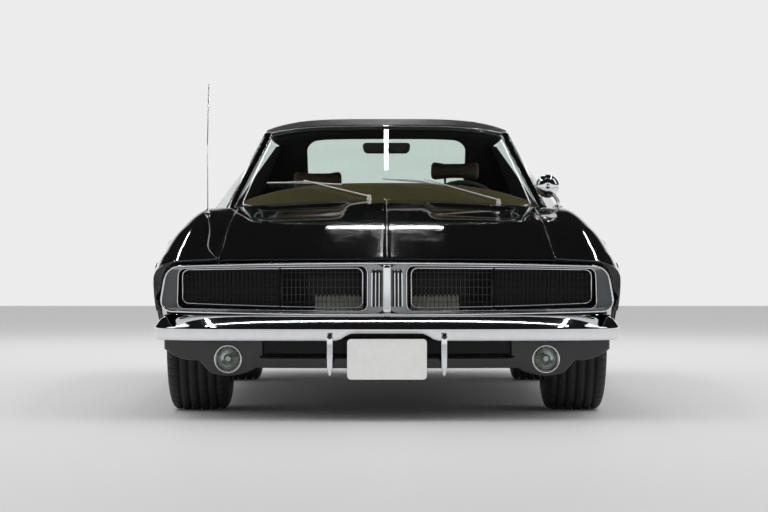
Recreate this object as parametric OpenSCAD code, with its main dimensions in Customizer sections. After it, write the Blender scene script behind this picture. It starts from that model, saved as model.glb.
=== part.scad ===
// Two-door hardtop muscle car with hidden headlamps.
// The front faces -Y, the car's left side is +X, and the tyres stand on Z = 0.

/* [Overall] */
// Length over the bumpers
overall_length = 5283; // [5200:1:5360]
// Width over the body sides
overall_width = 1946; // [1930:1:1990]
// Height of the roof's crown
roof_height = 1350; // [1335:1:1370]
// Distance between the axles
wheelbase = 2972; // [2940:1:3000]
// Front bumper's face to the front axle
front_overhang = 970; // [950:1:990]
// Height of the sills' lower edge
sill_height = 205; // [195:1:215]

/* [Wheels] */
// Outside diameter of the tyres
tyre_d = 686; // [670:1:692]
// Width of the tyres over the sidewalls
tyre_w = 262; // [240:1:264]
// Diameter of the rims' bead seat
rim_d = 386; // [376:1:396]
// Body side to the tyres' middle
wheel_inset = 172; // [170:1:178]
// Radius of the front wheel openings
front_arch_r = 388; // [380:1:396]
// Radius of the rear wheel openings
rear_arch_r = 374; // [368:1:384]

/* [Body] */
// Body side to the hood's edge of the fender
fender_top_w = 290; // [280:1:300]
// Body side to the trunk lid's edge of the quarter panel
quarter_top_w = 337; // [328:1:350]
// Front axle to the doors' leading edge
dash_to_axle = 770; // [750:1:800]
// Length of the doors
door_length = 1330; // [1300:1:1360]
// Height of the doors' lower edge above the sills' lower edge
rocker_h = 74; // [60:1:90]
// Gap between panels
panel_gap = 6; // [5:0.5:8]
// Thickness of the fenders and quarter panels
skin_t = 24; // [20:1:26]
// Thickness of the hood and the trunk lid
lid_t = 26; // [22:1:28]
// Thickness of the roof
roof_t = 30; // [24:1:34]
// Thickness of the glass
glass_t = 6; // [5:0.5:7]
// Gap between seated pieces
seat = 0.3; // [0.2:0.05:0.4]

/* [Running gear] */
// Tyres' middle to the kingpins
kingpin_inset = 101; // [95:1:110]
// Radius of the wheel spindles and axle ends
spindle_r = 28; // [24:1:32]
// Radial clearance of shafts in their bores
run_gap = 0.08; // [0.05:0.01:0.1]

/* [Hidden] */
$fn = 64;
half_w = overall_width / 2;
nose_end = -overall_length / 2;
tail_end = overall_length / 2;
front_axle = nose_end + front_overhang;
rear_axle = front_axle + wheelbase;
hub_z = tyre_d / 2;
wheel_x = half_w - wheel_inset;
kingpin_x = wheel_x - kingpin_inset;
spring_x = [wheel_x - 301, wheel_x - 241];
nose_y = nose_end + 66;
tail_y = tail_end - 66;
door_y0 = front_axle + dash_to_axle;
door_y1 = door_y0 + door_length;
door_z0 = sill_height + rocker_h;
hood_y1 = door_y0 - 76;
deck_y0 = rear_axle - 38;
deck_y1 = tail_y - 55;
cabin_wall_x = half_w - 181;
fender_edge_x = half_w - fender_top_w;
hood_half_w = fender_edge_x - panel_gap;
quarter_edge_x = half_w - quarter_top_w;
deck_half_w = quarter_edge_x - panel_gap;
sail_y0 = rear_axle - 415;
header_y = door_y0 + 500;
roof_y1 = rear_axle - 540;
tail_step = [tail_y - 245, tail_y - 178];
tail_panel_y = tail_y - 62;
// A place between the rear axle and the tail panel, by its share of the way
function tail_share(s) = rear_axle + s * (tail_panel_y - rear_axle);
deck_mid_y = rear_axle + 0.5437 * (tail_step[0] - rear_axle);
ws_y0 = hood_y1 + 44;

// Body sections.
// Columns: y, lower edge z, lower edge inset, widest z, widest inset, shoulder inset, shoulder z
SECTIONS = [
  [nose_y,            440, 44, 562, 32, 180, 646],
  [nose_y + 266,      440, 30, 572, 20, 174, 694],
  [nose_y + 330,      332, 46, 574, 18, 174, 705],
  [front_axle,        250, 50, 596,  8, 172, 800],
  [door_y0, sill_height, 60, 602, 20, 172, 884],
  [door_y0 + 665, sill_height, 62, 602, 30, 175, 890],
  [door_y1, sill_height, 60, 610, 24, 172, 903],
  [rear_axle,         250, 50, 628,  0, 164, 944],
  [deck_mid_y,        330, 56, 632,  6, 168, 936],
  [tail_step[0],      345, 62, 630, 20, 182, 921],
  [tail_step[1],      572, 30, 630, 26, 186, 917],
  [tail_y,            572, 46, 626, 44, 204, 904]];
LOW_Z = 1;
LOW_IN = 2;
WIDE_Z = 3;
WIDE_IN = 4;
TOP_IN = 5;
TOP_Z = 6;
shoulder_power = 2.3;

// Hood and cowl. Columns: y, centre z, edge z
HOOD = [
  [nose_y,           656, 652],
  [front_axle - 560, 726, 706],
  [front_axle,       826, 808],
  [hood_y1,          922, 886],
  [door_y0 + 20,     928, 890]];
// Trunk lid. Columns: y, centre z, edge z
DECK = [
  [sail_y0 - 60,    960, 934],
  [deck_y0,         958, 946],
  [deck_mid_y,      950, 938],
  [tail_y - 100,    934, 916],
  [tail_y,          930, 908]];
// Roof. Columns: y, centre z, side rail z, side rail half width
ROOF = [
  [header_y,       roof_height - 55, roof_height - 87, half_w - 413],
  [header_y + 300, roof_height - 14, roof_height - 68, half_w - 385],
  [header_y + 650, roof_height,      roof_height - 58, half_w - 375],
  [header_y + 980, roof_height - 10, roof_height - 66, half_w - 383],
  [roof_y1,        roof_height - 36, roof_height - 80, half_w - 399]];
header_half_w = ROOF[0][3];

// Interpolation in a table whose first column is the position
function lerp(a, b, t) = a + (b - a) * t;
function segment(table, y, i = 0) = i >= len(table) - 2 || y < table[i + 1][0] ? i : segment(table, y, i + 1);
function slope(table, c, i) =
  let (a = max(i - 1, 0), b = min(i + 1, len(table) - 1))
  (table[b][c] - table[a][c]) / (table[b][0] - table[a][0]);
function at(table, c, y) =
  let (
    i = segment(table, y),
    h = table[i + 1][0] - table[i][0],
    t = (y - table[i][0]) / h,
    s0 = slope(table, c, i) * h,
    s1 = slope(table, c, i + 1) * h)
  (2 * t * t * t - 3 * t * t + 1) * table[i][c] + (t * t * t - 2 * t * t + t) * s0
  + (3 * t * t - 2 * t * t * t) * table[i + 1][c] + (t * t * t - t * t) * s1;
function steps(a, b, n) = [for (i = [0 : n]) lerp(a, b, i / n)];

// Plan curve of the nose: the ends sweep back, and the sweep fades out towards the wheels
nose_sweep = 85;
nose_fade = 600;
function bow(x) = nose_sweep * pow(abs(x) / half_w, 2.4);
function nose(x, y) = y + bow(x) * pow(max(0, 1 - (y - nose_y) / nose_fade), 2);

// One body section at y, from its lower edge (or z0, where that is higher) to the shoulder, as [x, z] points
low_steps = 4;
top_steps = 7;
function side_x(y, z) =
  let (
    wide_z = at(SECTIONS, WIDE_Z, y),
    low_z = at(SECTIONS, LOW_Z, y),
    wide_x = half_w - at(SECTIONS, WIDE_IN, y),
    top_x = half_w - at(SECTIONS, TOP_IN, y),
    up = (z - wide_z) / (at(SECTIONS, TOP_Z, y) - wide_z))
  z < wide_z
    ? wide_x - (wide_x - half_w + at(SECTIONS, LOW_IN, y)) * pow((wide_z - z) / (wide_z - low_z), 2)
    : top_x + (wide_x - top_x) * pow(max(0, 1 - pow(min(1, up), shoulder_power)), 1 / shoulder_power);
function shoulder(y) = [half_w - at(SECTIONS, TOP_IN, y), at(SECTIONS, TOP_Z, y)];
function section(y, z0 = 0) =
  let (
    wide_z = at(SECTIONS, WIDE_Z, y),
    low_z = max(z0, at(SECTIONS, LOW_Z, y)),
    wide_x = half_w - at(SECTIONS, WIDE_IN, y),
    top = shoulder(y))
  [for (z = steps(low_z, wide_z, low_steps)) [side_x(y, z), z],
   for (i = [1 : top_steps])
     let (a = 90 * i / top_steps)
     [top[0] + (wide_x - top[0]) * pow(cos(a), 2 / shoulder_power),
      wide_z + (top[1] - wide_z) * pow(sin(a), 2 / shoulder_power)]];

// A line of [x, z] points moved inwards by t, square to itself
function inset_line(line, t) =
  [for (k = [0 : len(line) - 1])
    let (d = line[min(k + 1, len(line) - 1)] - line[max(k - 1, 0)])
    line[k] + t * [-d[1], d[0]] / norm(d)];
function at_y(line, y) = [for (p = line) [p[0], y, p[1]]];
function at_nose(line, y) = [for (p = line) [p[0], nose(p[0], y), p[1]]];

// A closed solid between two grids of points, rows by columns
function quad(a, b, c, d) = [[a, b, c], [a, c, d]];
function flat(lists) = [for (l = lists) each l];
function volume6(points, faces) =
  [for (f = faces) points[f[0]] * cross(points[f[1]], points[f[2]])] * [for (f = faces) 1];
module slab(outer, inner) {
  m = len(outer);
  n = len(outer[0]);
  points = concat(flat(outer), flat(inner));
  function o(i, k) = i * n + k;
  function q(i, k) = m * n + i * n + k;
  faces = flat([
    for (i = [0 : m - 2], k = [0 : n - 2]) quad(o(i, k), o(i, k + 1), o(i + 1, k + 1), o(i + 1, k)),
    for (i = [0 : m - 2], k = [0 : n - 2]) quad(q(i, k), q(i + 1, k), q(i + 1, k + 1), q(i, k + 1)),
    for (i = [0 : m - 2]) quad(o(i, 0), o(i + 1, 0), q(i + 1, 0), q(i, 0)),
    for (i = [0 : m - 2]) quad(o(i, n - 1), q(i, n - 1), q(i + 1, n - 1), o(i + 1, n - 1)),
    for (k = [0 : n - 2]) quad(o(0, k), q(0, k), q(0, k + 1), o(0, k + 1)),
    for (k = [0 : n - 2]) quad(o(m - 1, k), o(m - 1, k + 1), q(m - 1, k + 1), q(m - 1, k))]);
  polyhedron(points, volume6(points, faces) < 0 ? faces : [for (f = faces) [f[2], f[1], f[0]]]);
}

// A closed solid from rings of points, each ring joined to the next and the last to the first
module ring(rows) {
  m = len(rows);
  n = len(rows[0]);
  points = flat(rows);
  faces = flat([
    for (i = [0 : m - 1], k = [0 : n - 1])
      quad(i * n + k, i * n + (k + 1) % n, ((i + 1) % m) * n + (k + 1) % n, ((i + 1) % m) * n + k)]);
  polyhedron(points, volume6(points, faces) < 0 ? faces : [for (f = faces) [f[2], f[1], f[0]]]);
}

// A round tube of radius r along a list of points
tube_sides = 10;
module tube(path, r) {
  m = len(path);
  rows = [
    for (i = [0 : m - 1])
      let (
        d = path[min(i + 1, m - 1)] - path[max(i - 1, 0)],
        w = d / norm(d),
        u0 = abs(w[2]) < 0.9 ? cross(w, [0, 0, 1]) : cross(w, [1, 0, 0]),
        u = u0 / norm(u0),
        v = cross(w, u))
      [for (k = [0 : tube_sides - 1])
        let (a = 360 * k / tube_sides)
        path[i] + r * (cos(a) * u + sin(a) * v)]];
  points = flat(rows);
  last = (m - 1) * tube_sides;
  faces = concat(
    flat([
      for (i = [0 : m - 2], k = [0 : tube_sides - 1])
        let (a = i * tube_sides, b = a + tube_sides, next = (k + 1) % tube_sides)
        quad(a + k, a + next, b + next, b + k)]),
    [for (k = [1 : tube_sides - 2]) [0, k + 1, k]],
    [for (k = [1 : tube_sides - 2]) [last, last + k, last + k + 1]]);
  polyhedron(points, volume6(points, faces) < 0 ? faces : [for (f = faces) [f[2], f[1], f[0]]]);
}

module both_sides() {
  children();
  mirror([1, 0, 0]) children();
}
module block(x, y, z) {
  translate([x[0], y[0], z[0]]) cube([x[1] - x[0], y[1] - y[0], z[1] - z[0]]);
}
// An outline of [y, z] points, extruded along x
module side_plate(outline, x) {
  translate([x[0], 0, 0]) rotate([90, 0, 90]) linear_extrude(x[1] - x[0]) polygon(outline);
}

paint = "#101012";
chrome = "#d8dade";
dark = "#1c1c1e";
rubber = "#161616";
hide = "#5a4224";
clear = "#b8ccc4";

// Fenders and quarter panels

fender_flange = 60;
nose_t = 11;
function past_nose(y, reach) = min(1, max(0, (y - nose_y) / reach));
function fender_line(y) = concat(section(y), [[fender_edge_x, at(HOOD, 2, y)]]);
function fender_inside(y) =
  let (line = inset_line(fender_line(y), lerp(nose_t, skin_t, past_nose(y, 200))), n = len(line))
  [for (k = [0 : n - 1]) k < n - 1
    ? line[k]
    : [fender_edge_x, at(HOOD, 2, y) - lerp(nose_t + 2, fender_flange, past_nose(y, 300))]];
fender_ys = steps(nose_y, door_y0 - panel_gap, 18);

module wheel_opening(y, r) {
  translate([half_w - 420, y, hub_z]) rotate([0, 90, 0]) cylinder(r = r, h = 500);
}

module front_fenders() {
  color(paint) both_sides() difference() {
    slab(
      [for (y = fender_ys) at_nose(fender_line(y), y)],
      [for (y = fender_ys) at_nose(fender_inside(y), y)]);
    wheel_opening(front_axle, front_arch_r);
  }
}

quarter_flange = 60;
wall_end = sail_y0 - 10;
quarter_ys = concat(
  steps(door_y1 + panel_gap, wall_end, 4),
  steps(sail_y0 + 20, deck_mid_y, 9),
  steps(lerp(deck_mid_y, tail_step[0], 0.2766), tail_step[0], 3),
  steps(tail_step[1], tail_y, 2));
function quarter_line(y) =
  concat(section(y), [y <= wall_end ? shoulder(y) - [8, 0] : [quarter_edge_x, at(DECK, 2, y)]]);
function quarter_inside(y) =
  let (
    line = quarter_line(y),
    n = len(line),
    thin = inset_line(line, skin_t),
    low = line[0][1],
    flange = quarter_flange * (y < tail_step[0] ? 1 : 0.5))
  y <= wall_end
    ? [for (k = [0 : n - 1]) [cabin_wall_x, lerp(low, line[n - 1][1], k / (n - 1))]]
    : [for (k = [0 : n - 1]) k < n - 1 ? thin[k] : [quarter_edge_x, at(DECK, 2, y) - flange]];

module quarter_panels() {
  color(paint) both_sides() difference() {
    slab([for (y = quarter_ys) at_y(quarter_line(y), y)], [for (y = quarter_ys) at_y(quarter_inside(y), y)]);
    wheel_opening(rear_axle, rear_arch_r);
  }
}

// Doors

door_jamb_slant = 42;
door_ys = steps(door_y0, door_y1, 8);
function door_inside(y) =
  let (line = section(y, door_z0), n = len(line), top = line[n - 1][1])
  [for (k = [0 : n - 1]) [cabin_wall_x, lerp(door_z0, top, k / (n - 1))]];
function jamb(y) = lerp(door_y0 + 6, door_y1 - door_jamb_slant, (y - door_y0) / door_length);

module door_skin() {
  color(paint) slab(
    [for (y = door_ys) at_y(section(y, door_z0), y)],
    [for (y = door_ys) at_y(door_inside(y), jamb(y))]);
}
module door_left() { door_skin(); }
module door_right() { mirror([1, 0, 0]) door_skin(); }

// Side glass: ruled between the belt and the roof rail

rail_drop = roof_t + 8;
function belt_point(y, depth) = [shoulder(y)[0] - 1 - depth, y, shoulder(y)[1] + 3 * seat];
function rail_point(y, depth) = [at(ROOF, 3, y) - 2 - depth, y, at(ROOF, 2, y) - rail_drop];
module side_pane(belt, rail) {
  n = 4;
  function row(i, depth) =
    let (
      b = belt_point(lerp(belt[0], belt[1], i / n), depth),
      r = rail_point(lerp(rail[0], rail[1], i / n), depth))
    [for (t = steps(0, 1, 3)) lerp(b, r, t) + [12 * t * (1 - t), 0, 0]];
  color(clear) slab([for (i = [0 : n]) row(i, 0)], [for (i = [0 : n]) row(i, glass_t)]);
}
glass_lean = 25;
door_pane_belt = [door_y0 + 162, door_y1 - 6];
door_pane_rail = [header_y + 102, door_y1 - 6 - glass_lean];
quarter_pane_belt = [door_y1 + panel_gap + 1, sail_y0 - 18];
quarter_pane_rail = [door_y1 + panel_gap + 1 - glass_lean, roof_y1 - 44];
module door_glass_left() { side_pane(door_pane_belt, door_pane_rail); }
module door_glass_right() { mirror([1, 0, 0]) side_pane(door_pane_belt, door_pane_rail); }
module quarter_glass() { both_sides() side_pane(quarter_pane_belt, quarter_pane_rail); }

// Hood: a centre peak between two long hollows, with a rolled leading edge

hollow_depth = 14;
hollow_x = [165, fender_edge_x - 73];
hollow_y = [front_axle - 60, hood_y1 - 70];
hollow_edge = 70;
hollow_ramp = 300;
function bell(t) = t <= 0 || t >= 1 ? 0 : pow(sin(180 * t), 0.7);
function shelf(t) = let (u = min(1, max(0, t))) u * u * (3 - 2 * u);
function hollow(x, y) =
  hollow_depth * shelf((abs(x) - hollow_x[0]) / hollow_edge) * shelf((hollow_x[1] - abs(x)) / hollow_edge)
  * shelf((y - hollow_y[0]) / hollow_ramp) * shelf((hollow_y[1] - y) / hollow_edge);
function hood_z(x, y) =
  let (c = at(HOOD, 1, y), e = at(HOOD, 2, y))
  c - (c - e) * pow(abs(x) / fender_edge_x, 1.7) - hollow(x, y);
hood_xs = [for (x = steps(-hood_half_w, hood_half_w, 20)) x];
hood_ys = concat([nose_y, nose_y + 22], steps(nose_y + 90, hood_y1, 15));
lip_roll = 8;
function hood_row(y, drop) =
  let (t = drop * lerp(0.45, 1, past_nose(y, 160)))
  [for (x = hood_xs) [x, nose(x, y), hood_z(x, y) - t - (y < nose_y + 1 ? lip_roll : 0)]];
module hood() {
  color(paint) slab([for (y = hood_ys) hood_row(y, 0)], [for (y = hood_ys) hood_row(y, lid_t)]);
}

// Windshield line on the cowl, and the cowl in front of it

pillar_w = 44;
pillar_inset = 43;
ws_half_w = cabin_wall_x - pillar_w - pillar_inset;
ws_sweep = 150;
ws_top_half_w = header_half_w - 15;
header_sweep = 70;
function ws_base(x) = [x, ws_y0 + ws_sweep * pow(x / ws_half_w, 2), 914 - 26 * pow(x / ws_half_w, 2)];
cowl_t = 22;
cowl_half_w = fender_edge_x - seat;
function cowl_point(x, t) =
  let (y0 = hood_y1 + panel_gap, end = ws_base(x) - [0, seat, 2])
  [x, lerp(y0, min(end[1], door_y0 + 18), t), lerp(hood_z(x, y0), end[2], t)];
module cowl() {
  xs = steps(-cowl_half_w, cowl_half_w, 12);
  function row(t, drop) = [for (x = xs) cowl_point(x, t) - [0, 0, drop]];
  color(paint) slab([for (t = steps(0, 1, 3)) row(t, 0)], [for (t = steps(0, 1, 3)) row(t, cowl_t)]);
}

// Roof skin, windshield pillars and sail panels

roof_power = 4.2;
function roof_z(x, y) =
  let (c = at(ROOF, 1, y), r = at(ROOF, 2, y), w = at(ROOF, 3, y))
  c - (c - r) * pow(min(1, abs(x) / w), roof_power);
function roof_sweep(x, y) =
  header_sweep * pow(x / header_half_w, 2) * pow(max(0, 1 - (y - header_y) / 420), 2);
roof_ys = steps(header_y, roof_y1, 10);
function roof_row(y, drop) =
  let (w = at(ROOF, 3, y))
  [for (t = steps(-1, 1, 14)) [w * t, y + roof_sweep(w * t, y), roof_z(w * t, y) - drop]];
module roof_skin() {
  slab([for (y = roof_ys) roof_row(y, 0)], [for (y = roof_ys) roof_row(y, roof_t)]);
}

pillar_d = 50;
ws_top_corner = [
  ws_top_half_w,
  header_y + header_sweep * pow(ws_top_half_w / header_half_w, 2) - 4,
  roof_z(ws_top_half_w, header_y) - 15];
pillar_top = (at(ROOF, 2, header_y) - roof_t - seat - ws_base(ws_half_w)[2])
  / (ws_top_corner[2] - ws_base(ws_half_w)[2]);
function pillar_edge(t) = lerp(ws_base(ws_half_w), ws_top_corner, t) + [5 * seat, 0, 0];
module pillar() {
  ts = steps(0, pillar_top, 4);
  slab(
    [for (t = ts) [pillar_edge(t) + [0, -6, 0], pillar_edge(t) + [pillar_w, 16, 0]]],
    [for (t = ts) [pillar_edge(t) + [0, pillar_d - 8, 0], pillar_edge(t) + [pillar_w - 6, pillar_d + 4, 0]]]);
}
// The plinth that carries the pillar, between cowl, fender and door
module pillar_foot() {
  top = ws_base(ws_half_w)[2] - seat;
  y = [door_y0 + 6, ws_base(ws_half_w)[1] + pillar_d + 20];
  block([fender_edge_x + seat, cabin_wall_x - 6], y, [top - 60, top - 8]);
  block([ws_half_w + 2, cabin_wall_x - 6], y, [top - 60, top]);
}

sail_y1 = lerp(deck_mid_y, tail_step[0], 0.085);
sail_top_y0 = roof_y1 - 36;
sail_w = 116;
sail_crest_w = 26;
function quarter_top(x, y) =
  let (s = shoulder(y))
  lerp(s[1], at(DECK, 2, y), (s[0] - x) / (s[0] - quarter_edge_x));
function sail_base(s, depth) =
  let (y = lerp(sail_y0 + 20, sail_y1, s), x = shoulder(y)[0] - 8 - depth)
  [x, y, quarter_top(x, y) + 2 * seat];
function sail_crest(s, depth) =
  let (
    y = lerp(sail_top_y0 + 40, sail_y1, s),
    z0 = at(ROOF, 2, roof_y1) - roof_t - seat,
    z1 = quarter_top(shoulder(sail_y1)[0] - 40, sail_y1) + 14)
  [lerp(at(ROOF, 3, roof_y1), shoulder(sail_y1)[0] - 40, s) - depth, y, lerp(z0, z1, pow(s, 0.92))];
module sail() {
  ss = steps(0, 1, 10);
  ts = steps(0, 1, 4);
  function bulge(t) = [14 * t * (1 - t), 0, 0];
  slab(
    [for (s = ss) [for (t = ts) lerp(sail_base(s, 0), sail_crest(s, 0), t) + bulge(t)]],
    [for (s = ss) [for (t = ts) lerp(sail_base(s, sail_w), sail_crest(s, sail_crest_w), t)]]);
}
module roof() {
  color(dark) {
    roof_skin();
    both_sides() pillar();
    both_sides() pillar_foot();
    both_sides() sail();
  }
}

// Windshield and rear window.
// A point on the windshield is given by its share u of the half width and t of the height

ws_inward = glass_t * [0, 0.567, -0.824];
function ws_top(x) =
  [x, header_y + header_sweep * pow(x / header_half_w, 2) - seat - ws_inward[1], roof_z(x, header_y) - 13];
function ws_point(u, t) =
  lerp(ws_base(u * ws_half_w) + [0, 0, seat], ws_top(u * ws_top_half_w), t)
  + [0, -14 * t * (1 - t), 8 * t * (1 - t)];
module windshield() {
  xs = steps(-1, 1, 12);
  function pane(depth) = [for (t = steps(0, 1, 4)) [for (u = xs) ws_point(u, t) + depth * ws_inward]];
  color(clear) slab(pane(0), pane(1));
}

rw_y1 = deck_y0 - 84;
rw_half_w = quarter_edge_x + 38;
rw_top_half_w = ROOF[4][3] - 40;
// How far the side edges draw in at mid height, beside the sail panels
rw_waist = 8;
module rear_window() {
  xs = steps(-1, 1, 8);
  inward = glass_t * [0, -0.58, -0.81];
  function top(x) = [x, roof_y1 + seat - inward[1], roof_z(x, roof_y1) - 13];
  function base(x) = [x, rw_y1, at(DECK, 1, deck_y0) + 2 - 8 * pow(x / rw_half_w, 2)];
  function drawn_in(u, t) = [-rw_waist * u * 4 * t * (1 - t), 0, 0];
  function pane(depth) = [
    for (t = steps(0, 1, 4))
      [for (u = xs) lerp(base(u * rw_half_w), top(u * rw_top_half_w), t) + drawn_in(u, t) + depth * inward]];
  color(clear) slab(pane(0), pane(1));
}

// Deck panel below the rear window, trunk lid, tail panel

function deck_z(x, y) =
  let (c = at(DECK, 1, y), e = at(DECK, 2, y))
  c - (c - e) * pow(abs(x) / quarter_edge_x, 2);
deck_t = 22;
module deck_panel() {
  xs = steps(-quarter_edge_x + seat, quarter_edge_x - seat, 8);
  ys = steps(rw_y1 - 10, deck_y0 - panel_gap, 2);
  color(paint) slab(
    [for (y = ys) [for (x = xs) [x, y, deck_z(x, y) - 10]]],
    [for (y = ys) [for (x = xs) [x, y, deck_z(x, y) - 10 - deck_t]]]);
}

lip_rise = 16;
function lid_row(y, drop) = [
  for (x = steps(-deck_half_w, deck_half_w, 12))
    [x, y, deck_z(x, y) - drop + lip_rise * pow(max(0, (y - deck_y1 + 260) / 260), 2)]];
lid_ys = concat(steps(deck_y0, deck_y1 - 260, 6), steps(deck_y1 - 170, deck_y1, 3));
module trunk_lid() {
  color(paint) slab([for (y = lid_ys) lid_row(y, 0)], [for (y = lid_ys) lid_row(y, lid_t)]);
}

tail_panel_t = 18;
tail_panel_z = [580, 868];
tail_recess = 10;
module tail_panel() {
  zs = steps(tail_panel_z[0], tail_panel_z[1], 6);
  function half(z) = side_x(tail_y - 40, z) - skin_t * 1.6;
  function row(z, depth) = [for (t = steps(-1, 1, 8)) [half(z) * t, tail_panel_y + depth, z]];
  color(dark) slab([for (z = zs) row(z, tail_panel_t)], [for (z = zs) row(z, 0)]);
}
lamp_inner_x = 110;
lamp_outer_x = half_w - 213;
tail_lamp_z = [690, 800];
module tail_lamps() {
  y = tail_panel_y + tail_panel_t;
  color("#7a0f10") both_sides()
    translate([0, y + 16, 0]) rotate([90, 0, 0]) linear_extrude(16)
      translate([lamp_inner_x, tail_lamp_z[0]])
        square([lamp_outer_x - lamp_inner_x, tail_lamp_z[1] - tail_lamp_z[0]]);
}

// Bumpers: one profile carried along a plan curve whose ends wrap round the corners

bumper_power = 4;
bumper_half_w = half_w - 23;
function bumper_path(a, face, dir, wrap, sweep) =
  let (x = bumper_half_w * pow(abs(sin(a)), 2 / bumper_power) * sign(a))
  [x, face + dir * (wrap * (1 - pow(cos(a), 2 / bumper_power)) + sweep * pow(x / bumper_half_w, 2))];
half_angles = [1.5, 5, 11, 20, 30, 40, 50, 60, 70, 80, 88];
bumper_angles = concat([for (i = [len(half_angles) - 1 : -1 : 0]) -half_angles[i]], [0], half_angles);
module bumper(face, dir, wrap, sweep, front_profile, back_profile) {
  n = len(bumper_angles);
  path = [for (a = bumper_angles) bumper_path(a, face, dir, wrap, sweep)];
  function row(i, profile) =
    let (
      d = path[min(i + 1, n - 1)] - path[max(i - 1, 0)],
      out = dir * [d[1], -d[0]] / norm(d))
    [for (p = profile) [path[i][0] - p[0] * out[0], path[i][1] - p[0] * out[1], p[1]]];
  color(chrome) slab(
    [for (i = [0 : n - 1]) row(i, front_profile)],
    [for (i = [0 : n - 1]) row(i, back_profile)]);
}
// Columns: depth behind the face, z
FRONT_FACE = [
  [48, 433.5], [40, 432], [22, 408], [6, 384], [0, 372], [0, 360], [3, 336], [8, 324], [22, 320], [40, 322]];
FRONT_BACK = [
  [52, 430], [46, 424], [30, 402], [16, 381], [10, 371],
  [10, 360], [13, 340], [16, 332], [26, 330], [44, 329]];
REAR_FACE = [
  [40, 564], [16, 560], [4, 545], [0, 522], [5, 500], [3, 470], [9, 440], [24, 428], [40, 430]];
REAR_BACK = [
  [44, 557], [24, 551], [14, 540], [10, 522], [14, 500], [13, 472], [18, 448], [28, 438], [44, 437]];
front_wrap = 300;
front_sweep = 44;
rear_wrap = 220;
rear_sweep = 40;
guard_x = 228;
guard_w = 30;
guard_z = [182, 352];
guard_d = 30;
guard_tip_r = 7;
module front_bumper() {
  bumper(nose_end + 24, 1, front_wrap, front_sweep, FRONT_FACE, FRONT_BACK);
  color(chrome) both_sides() hull() {
    block(
      [guard_x - guard_w / 2, guard_x + guard_w / 2],
      [nose_end, nose_end + guard_d],
      [guard_z[0] + 70, guard_z[1]]);
    translate([guard_x, nose_end + guard_d / 2, guard_z[0] + guard_tip_r]) sphere(r = guard_tip_r, $fn = 12);
  }
}
// Number plate bracket under the bumper, with two bolt holes
plate_bolts = 177.8;
plate_bolt_z = 268;
module plate_bracket() {
  color(dark) difference() {
    block([-120, 120], [nose_end + 42, nose_end + 50], [206, 319.6]);
    for (x = [-1, 1]) translate([x * plate_bolts / 2, nose_end + 40, plate_bolt_z]) rotate([-90, 0, 0])
      cylinder(r = 3.5, h = 12);
  }
}
module rear_bumper() {
  bumper(tail_end, -1, rear_wrap, rear_sweep, REAR_FACE, REAR_BACK);
}

// Grille: a bright ring that follows the nose, two framed openings, a ribbed divider and fine mesh

grille_z = [440, 628];
grille_half_w = half_w - 68;
grille_corner = 46;
grille_recess = 58;
divider_half_w = 84;
// Share of the width lost per millimetre of height
grille_lean = 0.00019;
function rounded(half, z, r, n) = [
  for (c = [
      [half - r, z[1] - r, 0], [-half + r, z[1] - r, 90],
      [-half + r, z[0] + r, 180], [half - r, z[0] + r, 270]])
    for (i = [0 : n])
      let (a = c[2] + 90 * i / n)
      [c[0] + r * cos(a), c[1] + r * sin(a), cos(a), sin(a)]];
function on_sides(loop, gap) = flat([
  for (i = [0 : len(loop) - 1])
    let (p = loop[i], q = loop[(i + 1) % len(loop)], n = max(1, floor(abs(q[0] - p[0]) / gap)))
    [for (k = [0 : n - 1]) lerp(p, q, k / n)]]);
function nose_face(x) = nose_y + bow(x);
ring_profile = [[0, 0], [8, -6], [14, 0], [14, 60], [0, 90]];
ring_in = 14;
function lean(x, z) = x * (1 - grille_lean * (z - (grille_z[0] + grille_z[1]) / 2));
// One half's loop as [x, z]: outer corners of radius r[0], inner corners of radius r[1]
function half_loop(x, z, r, n) = [
  for (c = [
      [x[1] - r[0], z[1] - r[0], 0, r[0]], [x[0] + r[1], z[1] - r[1], 90, r[1]],
      [x[0] + r[1], z[0] + r[1], 180, r[1]], [x[1] - r[0], z[0] + r[0], 270, r[0]]])
    for (i = [0 : n])
      let (a = c[2] + 90 * i / n)
      [c[0] + c[3] * cos(a), c[1] + c[3] * sin(a)]];
// The loop with six steps along each of its two long sides
function long_sides(loop) = flat([
  for (i = [0 : len(loop) - 1])
    let (p = loop[i], q = loop[(i + 1) % len(loop)], n = abs(q[0] - p[0]) > 100 ? 6 : 1)
    [for (k = [0 : n - 1]) lerp(p, q, k / n)]]);
opening_x = [divider_half_w + 12, grille_half_w - 67];
opening_z = grille_z + [20, -19];
opening_r = 26;
panel_t = 12;
lip_d = grille_recess - 12;
// Panel between the ring, the divider and one opening, with a lip round the opening
module grille_panel() {
  outer = long_sides(half_loop(
    [divider_half_w + seat, grille_half_w - ring_in - seat],
    grille_z + [ring_in + seat, -ring_in - seat],
    [grille_corner - seat, 2], 4));
  inner = long_sides(half_loop(opening_x, opening_z, [opening_r, opening_r], 4));
  function spot(p, depth) = [lean(p[0], p[1]), nose_face(p[0]) + depth, p[1]];
  ring([
    for (i = [0 : len(outer) - 1])
      [spot(outer[i], 8), spot(inner[i], 12), spot(inner[i], lip_d),
        spot(lerp(inner[i], outer[i], 0.3), lip_d), spot(outer[i], 8 + panel_t)]]);
}
module grille_surround() {
  loop = on_sides(rounded(grille_half_w - ring_in, grille_z + [ring_in, -ring_in], grille_corner, 4), 130);
  color(chrome) ring([
    for (p = loop)
      [for (o = ring_profile)
        let (z = p[1] + o[0] * p[3])
        [lean(p[0] + o[0] * p[2], z), nose_face(p[0]) + 4 + o[1], z]]]);
  color("#8d9094") both_sides() grille_panel();
}

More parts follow.
